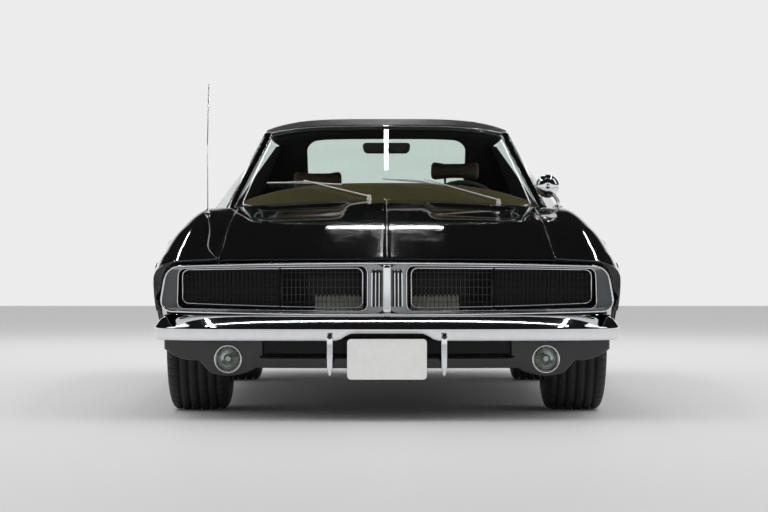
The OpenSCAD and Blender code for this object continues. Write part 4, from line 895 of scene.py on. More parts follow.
GUARD_X = 228
GUARD = ((352, 9), (349, 12), (330, 13), (260, 12.5), (216, 11), (196, 8), (184, 4), (181, 1.5))
guard = [[(GUARD_X + w * blunt(cos(a)), NOSE_END + 15 - w * 1.1 * blunt(sin(a)), z) for a in circle(20)]
         for z, w in GUARD]
both("bumper_guard", loft(guard), CHROME)
bolt = ((0, 0.5), (-3, 0.5), (-3, 5), (-1, 7.5), (3, 7.5), (3, 0.5))
both("guard_bolt", revolve(bolt, (GUARD_X, NOSE_END + 1, 336), "y", 20), IRON, slot="black_trim")
PLATE = ((6, -2599.8), (0, -2599.8), (0, -2602.2), (3, -2603), (5, -2601.8), (8, -2601.8))
plate = raised(-159, 159, 167, 329, 15, PLATE, lambda x, z, y: (x, y, z), 6)
piece("blank_plate", *plate, WHITE, smooth=False, slot="chrome")
dress("plate_bracket", BLACK)

# Front valance with the round lamps
LAMP_X, LAMP_Z, LAMP_HOLE_R, LAMP_SLANT = 640.0, 246.0, 49.0, 0.178


def valance_y(x):
    return NOSE_END + 92 + 130 * (abs(x) / HALF_W) ** 2.2


def bell(t):
    return 0.0 if t <= 0 or t >= 1 else sin(pi * t) ** 0.7


def valance_point(t, x):
    drop = 32 * bell((abs(x) - LAMP_X + 110) / 220)
    rise = 30 * shelf((abs(x) - 700) / 60) + 62 * max(0.0, (abs(x) - 780) / 135) ** 2
    z = lerp(212 - drop + rise, 330, t)
    hollow = 24 * shelf((520 - abs(x)) / 40) * shelf((z - 250) / 12)
    return x, valance_y(x) + 18 * (1 - t) ** 2 + hollow, z


v, faces = sheet(grid(valance_point, steps(0, 1, 26), steps(-898, 898, 230)))
# faces of the hollow above the lamps (|x| < 500, z > 254) get the near-black mesh material: painted shade in
# the recess
skin, hollow = [], []
for q in faces:
    x, _, z = (sum(v[i][j] for i in q) / 4 for j in range(3))
    if hypot(abs(x) - LAMP_X, z - LAMP_Z) > LAMP_HOLE_R:
        (hollow if abs(x) < 500 and z > 254 else skin).append(q)
piece("valance", v, skin, PAINT, solid=8, slot="black_trim", replaces=["front_valance"])
piece("valance_hollow_painted_shade", v, hollow, MESH, solid=8)
PARK_LAMP = (
    ("bezel", CHROME, 64, ((-2, 49), (-8, 51), (-11, 54), (-8, 56.5), (2, 57), (12, 56), (12, 49))),
    ("bowl", BOWL, 64, ((-4, 49), (6, 47), (18, 38), (26, 22), (28, 10), (32, 10), (32, 50), (12, 50))),
    ("bulb", LENS, 32, ((28, 0.5), (28, 9), (12, 9), (6, 12), (0, 10), (-4, 5), (-5, 0.5))),
    ("lens", GLASS, 64, ((-4, 49), (-9, 40), (-13, 22), (-14, 0.5), (-11, 0.5), (-10, 22), (-6, 40),
                        (-2, 47))),
)
for name, mat, n, profile in PARK_LAMP:
    v, f = revolve(profile, (LAMP_X, valance_y(LAMP_X), LAMP_Z), "y", n)
    v = [(x, y + LAMP_SLANT * (x - LAMP_X), z) for x, y, z in v]
    both("park_lamp_" + name, (v, f), mat, replaces=["park_lamps"] if name == "bowl" else ())

# Wheels: ribbed tyres with cut shoulders, caps and nuts

GROOVES, GROOVE_DEPTH, CUT_DEPTH = (-78, -40, 0, 40, 78), 8.0, 4.0
TYRE_SIDE = [(96, 193.6), (97.5, 204), (106, 213), (118, 224), (125, 240), (129.5, 256), (131, 270),
             (130, 286), (126.5, 302), (122, 316), (117, 326), (111, 334), (104, 339)]
LIP_INSET, TURN_ROOM, ARMS_Z = 3.0, 36.0, 505.0


def tread_r(x):
    return HUB_Z - 2.5 * (x / 100) ** 2


def tyre_profile():
    tread = [(96, tread_r(96))]
    for g in GROOVES[::-1]:
        for dx, cut in ((5.2, 0), (3.6, GROOVE_DEPTH), (-3.6, GROOVE_DEPTH), (-5.2, 0)):
            tread.append((g + dx, tread_r(g + dx) - cut))
    return TYRE_SIDE + tread + [(-96, tread_r(96))] + [(-x, r) for x, r in TYRE_SIDE[::-1]]


def tyre_mesh(y, pitches=52):
    """The profile turned about the axle, with a narrow cut across each shoulder at every pitch."""
    loops = []
    for i in range(pitches):
        for part, cut in ((0.04, 0), (0.5, 0), (0.92, 0), (0.94, CUT_DEPTH), (0.99, CUT_DEPTH)):
            w = 2 * pi * (i + part) / pitches
            line = [(x, r - cut * (84 < abs(x) < 119)) for x, r in tyre_profile()]
            loops.append([(WHEEL_X + x, y + r * cos(w), HUB_Z + r * sin(w)) for x, r in line])
    return ring_mesh(loops, True)


def wheelhouse(y, lip_r, room, x0, x1):
    """Dark arch over a tyre, wider behind the lip where the tyre turns, with an inner wall above the arms."""
    r = lip_r + room
    line = [(x, r) for x in steps(x0, x1 - 55, 5)] + [(x1 - 10, lip_r), (x1, lip_r)]
    rows = [[(x, y + q * cos(a), HUB_Z + q * sin(a)) for x, q in line]
            for a in steps(-0.04, pi + 0.04, 40)]
    wall = [[(x0, y + r * cos(a), z) for z in (max(ARMS_Z, HUB_Z + 0.4 * r), HUB_Z + r * sin(a))]
            for a in steps(0.46, pi - 0.46, 30)]
    return join([sheet(rows, True), sheet(wall)])


CAP = ((50, 0.5), (50, 41), (58, 41), (66, 36), (73, 24), (76, 10), (76.5, 0.5))
NUT = ((52, 0.5), (52, 11), (66, 10), (72, 6), (73, 0.5))
NUTS, NUT_R = 5, 52
for end, y, arch_r, room, x0, x1 in (("front", FRONT_AXLE, FRONT_ARCH_R, TURN_ROOM, 500, 905),
                                     ("rear", REAR_AXLE, REAR_ARCH_R, 0, 640, 920)):
    both(end + "_wheelhouse", wheelhouse(y, arch_r - LIP_INSET, room, x0, x1), UNDER, solid=2)
    bodies = ("wheel_%s_left" % end, "wheel_%s_right" % end)
    both("tyre_" + end, tyre_mesh(y), RUBBER, bodies=bodies, replaces=["tyre_" + end + "_{}"])
    nuts = [revolve(CAP, (WHEEL_X, y, HUB_Z), "x", 48)]
    for k in range(NUTS):
        a = 2 * pi * (k + 0.5) / NUTS
        nuts.append(revolve(NUT, (WHEEL_X, y + NUT_R * cos(a), HUB_Z + NUT_R * sin(a)), "x", 6))
    both("hub_cap_" + end, join(nuts), CHROME, bodies=bodies, slot="wheel_metal")
    for n in bodies:
        dress(n, WHEEL, bevel=1.5, sharp=25)

# Tail: long lamps with bright bezels and level ribs
LAMP_FACE_Y = TAIL_Y - 44
lens_rows = []
for i, z in enumerate(steps(694, 796, 34)):
    y = LAMP_FACE_Y + (12 if i % 2 else 9.5)
    lens_rows.append([(x, y - 4 * (abs(x - 435) / 321) ** 8, z) for x in steps(114, 756, 40)])
v, f = sheet(lens_rows)
m, n = len(lens_rows), len(lens_rows[0])
edge = list(range(n)) + [i * n + n - 1 for i in range(1, m)]
edge += [(m - 1) * n + k for k in range(n - 2, -1, -1)] + [i * n for i in range(m - 2, 0, -1)]
base, turn = len(v), len(edge)
v += [(v[k][0], LAMP_FACE_Y + 0.4, v[k][2]) for k in edge]
f += [(edge[i], edge[(i + 1) % turn], base + (i + 1) % turn, base + i) for i in range(turn)]
f.append(tuple(range(base, base + turn)))
both("tail_lamp", (v, f), RED, smooth=False, replaces=["tail_lamps"])
bezel = [(x, LAMP_FACE_Y + 9, z) for x, z in rounded(110, 760, 690, 800, 14, along=20)]
both("tail_bezel", tube(bezel, 5.5, 10, True), CHROME)
dress("tail_panel", BLACK, bevel=1)
dress("exhaust", STEEL)
tip = ((-70, 24.6), (-70, 27), (-4, 29), (0, 28), (-2, 25.5), (-40, 24.4))
both("exhaust_tip", revolve(tip, (440, TAIL_END - 24, 300), "y", 40), CHROME, slot="exhaust_steel")

# Bright mouldings


def on_side(y, z, out):
    return side_x(y, z) + out, y, z


def rail_point(y):
    w = at(ROOF, WIDTH, y)
    return w + 1, y + roof_sweep(w, y), at(ROOF, EDGE, y) - 14


header = [(x, HEADER_Y + roof_sweep(x, HEADER_Y) - 3, roof_z(x, HEADER_Y) - 7) for x in steps(-556, 556, 60)]
piece("header_moulding", *tube(header, 3.0, 10), CHROME)
sill_line = [shifted(ws_base(x), 0, -3, 3) for x in steps(-700, 700, 50)]
piece("windshield_sill", *tube(sill_line, 4.0, 8), BLACK)
inner = [pillar_edge(t, 4, -9) for t in steps(0.01, 0.985, 14)]
outer = [pillar_edge(t, 37, 7) for t in steps(0.03, 0.96, 14)]
both("pillar_moulding", join([tube(inner, 2.4, 8), tube(outer, 2.2, 8)]), CHROME)
both("drip_rail", tube([rail_point(y) for y in steps(HEADER_Y + 4, ROOF_Y1, 40)], 5.5, 8), CHROME)
rear_edge = [shifted(rw_base(x), 0, 4, 3) for x in steps(-RW_HALF + 4, RW_HALF - 4, 30)]
piece("rear_glass_moulding", *tube(rear_edge, 5.0, 8), CHROME)
arch = []
for axle, r in ((FRONT_AXLE, FRONT_ARCH_R - 1), (REAR_AXLE, REAR_ARCH_R - 1)):
    line = [(axle + r * cos(a), HUB_Z + r * sin(a)) for a in steps(0.02 * pi, 0.98 * pi, 60)]
    arch.append(tube([on_side(y, z, -4) for y, z in line if z > 260], 5.0, 8))
both("arch_lips", join(arch), PAINT)
sills = [[on_side(y, z, 1.0) for z in steps(SILL_Z + 1, DOOR_Z0 - 7, 8)]
         for y in steps(DOOR_Y0 + 2, DOOR_Y1 - 2, 40)]
both("sill_skin", sheet(sills, True), PAINT, solid=0.8)
line = [on_side(y, SILL_Z + 14, 3) for y in steps(DOOR_Y0 + 4, DOOR_Y1 - 4, 30)]
both("sill_moulding", tube(line, 5, 8), CHROME)

# Door handles, locks, side lamps and filler cap

HANDLE_Y, HANDLE_Z = DOOR_Y1 - 190, 772
grip = [on_side(HANDLE_Y + 75 * t, HANDLE_Z, 24 * max(0.0, 1 - t**6) - 2) for t in steps(-1, 1, 24)]
handle = [tube(grip, 9, 12, flat=0.7)]
for dy, dz, ends, r, n in ((-72, 0, (-3, 5), 13, 20), (72, 0, (-3, 5), 13, 20), (52, 0, (4, 30), 9, 20),
                           (46, -52, (-3, 4), 11, 24)):
    handle.append(tube([on_side(HANDLE_Y + dy, HANDLE_Z + dz, out) for out in ends], r, n))
both("door_handle", join(handle), CHROME, bodies=DOORS)
MARKER = ((1, -3), (1, 2), (0.9, 4), (0.5, 5.5), (0.02, 6))
for name, y, z, mat in (("front_marker", NOSE_Y + 410, 612, AMBER),
                        ("rear_marker", REAR_AXLE + 760, 640, RED)):
    loop = rounded(y - 58, y + 58, z - 17, z + 17, 15, along=8, up=2)
    both(name + "_bezel", tube([on_side(p, q, 1.5) for p, q in loop], 4, 8, True), CHROME)
    rings = [[on_side(y + (p - y) * s, z + (q - z) * s, d) for p, q in loop] for s, d in MARKER]
    both(name + "_lens", loft(rings), mat)
CAP_X, CAP_Y = 716, REAR_AXLE + 690
filler = ((-4, 0.5), (-4, 62), (4, 62), (7, 58), (8, 48), (15, 44), (18, 36), (18, 8), (21, 6), (21, 0.5))
piece("filler_cap", *revolve(filler, (CAP_X, CAP_Y, quarter_top(CAP_X, CAP_Y)), "z", 56), CHROME)

# Wipers, aerial, mirrors


def on_windshield(u, t, lift):
    flat = between(seated_base(u * WS_HALF), ws_top(u * WS_TOP_HALF), t)
    return tuple(c + 4 * t * (1 - t) * b + lift * n for c, b, n in zip(flat, WS_BULGE, WS_NORMAL))


def on_blade(u, ends, lift):
    return on_windshield(u, lerp(0.285, 0.215, (u - ends[0]) / (ends[1] - ends[0])), lift)


BLADE_LIFT, BRIDGE_LIFT = 5.0, 8.0
PIVOT = ((0, 0.5), (0, 12), (6, 12), (14, 9), (22, 9), (26, 6), (27, 0.5))
arms, blades = [], []
for pivot_x, rise, tip_u, ends in ((-80, 2.2, -0.582, (-0.85, -0.31)), (515, 1.0, 0.262, (-0.03, 0.40))):
    p = shifted(cowl_point(pivot_x, 0.5), 0, 0, rise)
    arms.append(revolve(PIVOT, p, "z", 24))
    knee, tip = on_windshield((pivot_x - 40) / WS_HALF, 0.06, 16), on_windshield(tip_u, 0.265, 13)
    arms.append(tube(smooth([shifted(p, 4, 2, 22), knee, tip], 8), 5.0, 10, flat=0.55))
    blades.append(tube([on_blade(u, ends, BLADE_LIFT) for u in steps(*ends, 16)], 3.6, 8))
    bridge = [on_blade(u, ends, BLADE_LIFT + BRIDGE_LIFT * sin(pi * k / 12))
              for k, u in enumerate(steps(lerp(*ends, 0.18), lerp(*ends, 0.82), 12))]
    arms.append(tube(bridge, 3.0, 8, flat=0.6))
piece("wiper_arms", *join(arms), WIPER, replaces=["wipers"])
piece("wiper_blades", *join(blades), WIPER)
lo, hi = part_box("aerial")
root = ((lo[0] + hi[0]) * 500, (lo[1] + hi[1]) * 500, lo[2] * 1000)
aerial = [revolve(((0, 0.5), (0, 15), (5, 14), (12, 8), (20, 6), (21, 0.5)), root, "z", 28)]
mast = [shifted(root, 0, 0, 15), shifted(root, -2, 3, 290), shifted(root, 4, 9, 580)]
aerial.append(tube(mast, 2.2, 10))
piece("aerial_mast", *join(aerial), CHROME, replaces=["aerial"])
MIRROR_AT = shifted((shoulder(DOOR_Y0 + 150)[0], DOOR_Y0 + 150, shoulder(DOOR_Y0 + 150)[1]), -49, 0, 100)
bowl = ((-17, 0.5), (-17.5, 14), (-16, 30), (-9, 45), (2, 53), (10, 54.5), (15, 54), (15, 50), (10, 49),
        (10, 0.5))
foot = shifted(MIRROR_AT, 48, 0, -99)
stalk = [shifted(foot, 0, 0, 4), shifted(foot, 0, 0, 30), shifted(foot, -22, 0, 62),
         shifted(MIRROR_AT, 8, 0, -14)]
head = [revolve(bowl, MIRROR_AT, "y", 56), tube(smooth(stalk), 8, 16)]
head.append(revolve(((0, 0.5), (0, 24), (3, 24), (8, 14), (14, 10), (14, 0.5)), foot, "z", 28))
piece("mirror_head", *join(head), CHROME, body="door_left", replaces=["door_mirror"])
glass_disc = revolve(((9, 0.5), (9, 49), (12, 49), (12, 0.5)), MIRROR_AT, "y", 48)
piece("mirror_pane", *glass_disc, MIRROR, body="door_left")

# Cabin: seats stuffed by cloth simulation

SEAT_X, SEAT_Y, SEAT_FLOOR, SEAT_ENDS = 350.0, DOOR_Y1 - 570, 231.0, (174, 566)
REAR_SEAT_Y, REAR_SEAT_Z, REAR_HALF = DOOR_Y1 + 412, 207.0, 588
TUNNEL_Z = 216
SIM_FRAMES, SIM_PRESSURE = 20, 4.0


def evaluated(o):
    return bpy.data.meshes.new_from_object(o.evaluated_get(bpy.context.evaluated_depsgraph_get()))


def stuffed(name, mesh, voxel, cap):
    """The closed form swollen by cloth simulation, no point moving further than cap, then subdivided once."""
    data = bpy.data.meshes.new(name)
    data.from_pydata(in_metres(mesh[0]), [], mesh[1])
    start = add(name, data)
    remesh = start.modifiers.new("voxel", "REMESH")
    remesh.mode = "VOXEL"
    remesh.voxel_size = voxel * MM
    form = add(name, evaluated(start))
    bpy.data.objects.remove(start)
    cloth = form.modifiers.new("cloth", "CLOTH")
    cloth.settings.use_pressure = True
    cloth.settings.uniform_pressure_force = SIM_PRESSURE
    cloth.settings.effector_weights.gravity = 0.0
    cloth.point_cache.frame_end = SIM_FRAMES
    for k in range(1, SIM_FRAMES + 1):
        bpy.context.scene.frame_set(k)
    swollen = evaluated(form)
    form.modifiers.remove(cloth)
    for v, w in zip(form.data.vertices, swollen.vertices):
        move = w.co - v.co
        v.co = v.co + move * min(1.0, cap * MM / max(move.length, 1e-9))
    bpy.context.scene.frame_set(1)
    smoother = form.modifiers.new("sub", "SUBSURF")
    smoother.levels = smoother.render_levels = 1
    done = evaluated(form)
    out = [tuple(c / MM for c in v.co) for v in done.vertices], [tuple(p.vertices) for p in done.polygons]
    bpy.data.objects.remove(form)
    return out


def shrunk(profile, by):
    cy = sum(p[0] for p in profile) / len(profile)
    cz = sum(p[1] for p in profile) / len(profile)
    out = []
    for y, z in profile:
        k = 1 - by / hypot(y - cy, z - cz)
        out.append((cy + (y - cy) * k, cz + (z - cz) * k))
    return out


def side_form(profile, x0, x1):
    """A side profile of (y, z) drawn across the car, with softened ends."""
    ends = ((x0, 18), (x0 + 5, 8), (x0 + 16, 0), (x1 - 16, 0), (x1 - 5, 8), (x1, 18))
    return loft([[(x, y, z) for y, z in shrunk(profile, by)] for x, by in ends])


def placed(profile, y, z):
    return [(a + y, b + z) for a, b in profile]


def sew(mesh, seams, weight, push, depth=9.0, width=7.0):
    """Sewn channels: the cover is drawn in along each seam, where weight says that there is one."""
    verts = []
    for p in mesh[0]:
        w = weight(p)
        if w > 0:
            w *= depth * sum(exp(-((p[0] - c) / width) ** 2) for c in seams)
            p = tuple(p[j] + push[j] * w for j in range(3))
        verts.append(p)
    return verts, mesh[1]


def soft(name, mesh, replaces=(), fill=0.7):
    piece(name, *mesh, HIDE, replaces=replaces)


def seat_front(z):
    """Front face of the seat's back."""
    return SEAT_Y + 430 + 130 * (z - SEAT_FLOOR - 190) / 470


def bench_front(z):
    """Front face of the rear seat's back."""
    return REAR_SEAT_Y - 20 + 250 * (z - REAR_SEAT_Z - 232) / 432


CHANNELS = [SEAT_X - 5 + 38 * k for k in range(-3, 4)]
cushion = [(18, 66), (14, 150), (22, 184), (52, 208), (250, 188), (412, 168), (462, 120), (462, 66)]
cushion = stuffed("cushion", side_form(placed(cushion, SEAT_Y, SEAT_FLOOR), *SEAT_ENDS), 12, 15)
cushion = sew(
    cushion, CHANNELS,
    lambda p: shelf((p[2] - SEAT_FLOOR - 150) / 20) * span(p[1], SEAT_Y + 50, SEAT_Y + 430, 40), (0, 0, -1))
rest = [(440, 212), (470, 300), (558, 632), (598, 664), (624, 648), (594, 420), (586, 300), (556, 212)]
rest = stuffed("rest", side_form(placed(rest, SEAT_Y, SEAT_FLOOR), *SEAT_ENDS), 12, 14)
rest = sew(
    rest, CHANNELS,
    lambda p: (p[1] < seat_front(p[2]) + 55) * span(p[2], SEAT_FLOOR + 240, SEAT_FLOOR + 610, 40), (0, 1, 0))
narrow = [1 - 0.15 * clamp((p[2] - SEAT_FLOOR - 380) / 310) ** 2 for p in rest[0]]
rest = [(SEAT_X + 20 + (p[0] - SEAT_X - 20) * k, p[1], p[2]) for p, k in zip(rest[0], narrow)], rest[1]
REST_Y, REST_TOP = (SEAT_Y + 570, SEAT_Y + 630), {"left": 1157.0, "right": 1108.0}
y0, y1, z0, z1 = REST_Y[0] + 9, REST_Y[1] - 9, REST_TOP["left"] - 101, REST_TOP["left"] - 9
block = [(y0, z0 + 20), (y0, z1 - 26), (y0 + 14, z1), (y1 - 14, z1), (y1, z1 - 26), (y1, z0 + 20),
         (y1 - 10, z0), (y0 + 10, z0)]
headrest = stuffed("headrest", side_form(block, SEAT_X - 124, SEAT_X + 124), 8, 9)
base = box((SEAT_X - 165, SEAT_X + 205), (SEAT_Y + 40, SEAT_Y + 500), (SEAT_FLOOR + 0.5, SEAT_FLOOR + 70))
for side in ("left", "right"):
    turn = (lambda m: m) if side == "left" else flip_x
    soft("seat_cushion_" + side, turn(cushion), ["front_seats"] if side == "left" else ())
    soft("seat_back_" + side, turn(rest))
    top = REST_TOP[side]
    lowered = [shifted(p, 0, 0, top - REST_TOP["left"]) for p in headrest[0]]
    soft("headrest_" + side, turn((lowered, headrest[1])), fill=0.85)
    posts = [tube([(x, REST_Y[0] + 30, z) for z in (SEAT_FLOOR + 640, top - 90)], 6, 12)
             for x in (SEAT_X - 50, SEAT_X + 50)]
    piece("headrest_posts_" + side, *turn(join(posts)), CHROME)
    piece("seat_frame_" + side, *turn(base), BLACK, bevel=6, slot="underbody")

# Rear seat: one cushion over the tunnel and one back, each with a middle seam
low = [(-312, 135), (-316, 186), (-304, 218), (-276, 240), (-170, 228), (-60, 210), (-32, 170), (-36, 135)]
high = [(y, max(z, TUNNEL_Z)) for y, z in low]
rows = []
for x, by, profile in ((REAR_HALF, 18, low), (REAR_HALF - 5, 8, low), (570, 0, low), (172, 0, low),
                       (160, 0, high)):
    rows.append((-x, shrunk(placed(profile, REAR_SEAT_Y, REAR_SEAT_Z), by)))
rows += [(-x, p) for x, p in rows[::-1]]
bench = stuffed("bench", loft([[(x, y, z) for y, z in p] for x, p in rows]), 12, 14)
REAR_CHANNELS = [s * (96 + 44 * k) for s in (-1, 1) for k in range(11)] + [0]
bench = sew(
    bench, REAR_CHANNELS,
    lambda p: shelf((p[2] - REAR_SEAT_Z - 195) / 15) * span(p[1], REAR_SEAT_Y - 285, REAR_SEAT_Y - 60, 30),
    (0, 0, -1))
soft("rear_cushion", bench, ["rear_seat"])
rear_back = [(-28, 252), (60, 405), (176, 614), (206, 642), (244, 638), (252, 610), (203, 347), (92, 338),
             (42, 284)]
rear_back = side_form(placed(rear_back, REAR_SEAT_Y, REAR_SEAT_Z), -REAR_HALF, REAR_HALF)
rear_back = sew(
    stuffed("rear_back", rear_back, 13, 14), REAR_CHANNELS,
    lambda p: (p[1] < bench_front(p[2])) * span(p[2], REAR_SEAT_Z + 300, REAR_SEAT_Z + 590, 40),
    (0, 0.87, -0.5))
soft("rear_back", rear_back)
kick = [(-320, 25), (-320, 142), (-44, 142), (-8, 60), (-8, 25)]
kick = loft([[(x, y, z) for y, z in placed(kick, REAR_SEAT_Y, REAR_SEAT_Z)] for x in (158, 592)])
both("rear_seat_base", kick, HIDE, bevel=8)

# Dash pad with dials, radio and glove box

DASH_Y, DASH_X, CREST_Z = HOOD_Y1 + 10, 675.0, 1003.9
PANEL_Z, DIAL_Z = (802, 884), 843


def dash_row(x):
    crest = CREST_Z - 85 * (abs(x) / DASH_X) ** 3
    top = [(0, 850), (88, 862), (200, lerp(862, crest, 0.633)), (265, crest), (300, crest - 5),
           (321, crest - 24), (328, crest - 50)]
    low = [(325, lerp(790, crest - 50, 0.4)), (318, 790), (290, 720), (240, 640)]
    return [(x, DASH_Y + y, z) for y, z in smooth(top + low) + [(0, 640)]]


def on_dash(x, z, out):
    """A point on the dash's upright face."""
    return x, DASH_Y + 318 + 10 * (z - 790) / 164 + out, z


dash = loft([dash_row(x) for x in steps(-DASH_X, DASH_X, 54)])
piece("dash", *dash, DASH, bevel=4, replaces=["dashboard"])
for name, x0, x1, mat in (("dial_panel", 170, 548, BLACK), ("radio_panel", -130, 130, BLACK),
                          ("glove_lid", -560, -190, DASH)):
    panel = raised(x0, x1, *PANEL_Z, 18, ((0, -4), (0, 5), (2, 7), (5, 6)), on_dash, 10, 4)
    piece(name, *panel, mat, slot="dash_trim")


def on_dial(x, r, a, out):
    return on_dash(x + r * cos(a), DIAL_Z + r * sin(a), out)


rims, marks, needles = [], [], []
for x, r in ((212, 23), (276, 34), (360, 34), (436, 23), (498, 23)):
    rims.append(tube([on_dial(x, r, a, 8) for a in circle(36)], 2.4, 8, True))
    for a in steps(radians(-40), radians(220), 8):
        marks.append(tube([on_dial(x, r * k, a, 7.5) for k in (0.7, 0.86)], 0.8, 6))
    needle = [on_dash(x - 3, DIAL_Z - 3, 9), on_dash(x - 0.6 * r, DIAL_Z + 0.5 * r, 9)]
    needles.append(tube(needle, 1.0, 6))
knob = ((0, 0.5), (0, 13), (16, 11), (20, 7), (20, 0.5))
knobs = [revolve(knob, on_dash(x, 830, 6), "y", 24) for x in (-104, 104)]
knobs.append(revolve(((0, 0.5), (0, 12), (10, 9), (12, 0.5)), on_dash(-375, 866, 6), "y", 24))
knobs.append(tube([on_dash(-70, 862, 8), on_dash(70, 862, 8)], 3, 8))
piece("dial_rims", *join(rims + knobs), CHROME)
piece("dial_marks", *join(marks), WHITE)
piece("dial_needles", *join(needles), RED, slot="dash_trim")

# Steering column and wheel, in the column's own tilted axes

TILT = radians(114)
WHEEL_AT = Vector((360, DASH_Y + 520, CREST_Z - 164))
ACROSS, UP_WHEEL = Vector((1, 0, 0)), Vector((0, cos(TILT), sin(TILT)))
DOWN_COLUMN = Vector((0, -sin(TILT), cos(TILT)))
RIM_R, RIM_STEPS, GRIPS = 190.0, 96, 32
SPOKE_R0, SPOKE_T = 26, 4.5


def on_wheel(r, a, d):
    return tuple(WHEEL_AT + r * (cos(a) * ACROSS + sin(a) * UP_WHEEL) + d * DOWN_COLUMN)


def turned(profile, n=48):
    return ring_mesh([[on_wheel(r, a, d) for a in circle(n)] for r, d in profile], True)


shroud = turned(((0.5, 26), (30, 26), (33, 40), (33, 150), (26, 190), (26, 560), (0.5, 560)))
lever = tube([on_wheel(30, 0.15, 74), on_wheel(120, 0.2, 66), on_wheel(186, 0.22, 56)], 4, 10)
knob = tube([on_wheel(180, 0.22, 57), on_wheel(204, 0.22, 54)], 7, 12)
piece("steering_column", *shroud, BLACK, slot="dash_trim")
piece("signal_lever", *join([lever, knob]), CHROME)
grip = []
for a in circle(RIM_STEPS):
    swell = 12.6 - 1.2 * max(0.0, cos(a * GRIPS))
    grip.append([on_wheel(RIM_R + swell * cos(b), a, swell * sin(b)) for b in circle(14)])
hub = turned(((0.5, -19), (22, -18), (30, -13), (34, -4), (34, 20), (0.5, 20)))
piece("wheel_rim", *join([ring_mesh(grip, True), hub]), BLACK, body="steering_wheel", slot="dash_trim",
      replaces=["steering_wheel"])
spokes = [tube([on_wheel(106, a, -9) for a in circle(64)], 4, 8, True)]
for k in range(3):
    a = pi / 2 + 2 * pi * k / 3
    rows = []
    for r in steps(SPOKE_R0, RIM_R - 6, 10):
        w = lerp(13, 8.5, (r - SPOKE_R0) / 158) / r
        rows.append([on_wheel(r, a + s * w, d * SPOKE_T) for s, d in ((-1, -1), (1, -1), (1, 1), (-1, 1))])
    spokes.append(loft(rows))
piece("wheel_spokes", *join(spokes), STEEL, body="steering_wheel", bevel=1.5, slot="dash_trim")

# Inside trim: door cards, quarter linings, carpet, shelf, headliner and rear window surround


def card(y0, y1, z0, z1, x0):
    """A rounded panel that stands out from the wall at x0."""
    face = CABIN_X - 9
    profile = ((0, x0), (0, face + 4), (2, face + 1), (6, face))
    return raised(y0, y1, z0, z1, 30, profile, lambda y, z, x: (x, y, z), 16, 10)


def on_card(points):
    return [(CABIN_X - x, y, z) for x, y, z in points]


both("door_card", card(DOOR_Y0 + 80, DOOR_Y1 - 66, 314, 862, CABIN_X - 0.4), HIDE, bodies=DOORS)
both("quarter_lining", card(DOOR_Y1 + 14, SAIL_Y0 + 10, 240, 884, CABIN_X - 2), HIDE)
arm = []
for y in steps(-210, 190, 24):
    k = max(0.05, 1 - abs((y + 10) / 200) ** 6)
    arm.append(on_card([(8.5, y, 560), (8 + 40 * k, y, 572), (8 + 48 * k, y, 596), (8 + 44 * k, y, 612),
                        (8.5, y, 620)]))
both("armrest", loft(arm), HIDE, bodies=DOORS, bevel=4)
controls = [revolve(((0, 0.5), (0, 22), (-8, 20), (-12, 0.5)), (CABIN_X - 9, -360, 560), "x", 28)]
for line, r, n in ((((20, -360, 560), (30, -300, 600), (32, -255, 620)), 5, 10),
                   (((30, -255, 620), (56, -255, 620)), 8, 14),
                   (((9, -330, 716), (30, -320, 716), (32, -230, 712)), 6, 10)):
    controls.append(tube(on_card(line), r, n))
both("door_controls", join(controls), CHROME, bodies=DOORS)
floor_line = [(CABIN_X - 24, 236), (400, 236), (156, 236), (148, 246), (114, 410), (104, 418), (0, 420)]
floor_line = floor_line + [(-x, z) for x, z in floor_line[-2::-1]]
carpet = [[(x, y, z) for x, z in floor_line] for y in steps(DASH_Y + 4, REAR_SEAT_Y - 336, 30)]
piece("carpet", *sheet(carpet, True), CARPET, solid=3)
for name, low, top, thick in (("rear_shelf", (1096, 866), (1164, 930), 5),
                              ("trunk_bulkhead", (1062, 506), (1118, 884), 4)):
    rows = grid(lambda x, t: (x, *between(low, top, t)), steps(-640, 640, 12), steps(0, 1, 6))
    piece(name, *sheet(rows), LINING, solid=thick)


def liner_point(t, y):
    x = (at(ROOF, WIDTH, y) - 34) * t
    return x, y + roof_sweep(x, y), roof_z(x, y) - ROOF_T - 4


liner = grid(liner_point, steps(-1, 1, 40), steps(HEADER_Y + 6, ROOF_Y1 - 4, 40))
piece("headliner", *sheet(liner, True), LINING, solid=2)


def in_rear_glass(x, t):
    u = x / rear_half(t)
    _, y, z = between(rw_base(u * RW_HALF), rw_top(u * RW_TOP_HALF), t)
    return x, y - 9, z - 11


edge = [(a, lerp(0.01, 0.985, b)) for a, b in rounded(-1, 1, 0, 1, 0.02)]
hole = [(a, lerp(0.08, 0.965, b)) for a, b in rounded(-1, 1, 0, 1, 0.17)]
loops = [[in_rear_glass(a * (rear_half(t) + 24), t) for a, t in edge],
         [in_rear_glass(a * 414, t) for a, t in hole]]
piece("rear_window_surround", *ring_mesh(loops), LINING, solid=3)

# Inside mirror: a rounded shell narrowing downwards, on a stem from the header
MIRROR_Y, MIRROR_Z = HEADER_Y + 40, 1184.0
SHELL = ((14, 0.90), (14, 0.97), (11, 1.0), (-2, 1.0), (-9, 0.9), (-12, 0.7), (-13, 0.2))
outline = rounded(-113, 113, -26, 26, 20, along=16, up=3)
loops = [[(x * k * (1 + 0.0014 * z), MIRROR_Y + y, MIRROR_Z + z * k) for x, z in outline] for y, k in SHELL]
stem = [(0, MIRROR_Y, MIRROR_Z), (0, MIRROR_Y + 2, MIRROR_Z + 50),
        (0, MIRROR_Y, roof_z(0, MIRROR_Y) - ROOF_T - 2)]
mirror = join([loft(loops), tube(stem, 6, 12)])
piece("inside_mirror", *mirror, BLACK, slot="dash_trim", replaces=["cabin_mirror"])
face = [(x * 0.89, MIRROR_Y + 14.6, MIRROR_Z + z * 0.86) for x, z in outline]
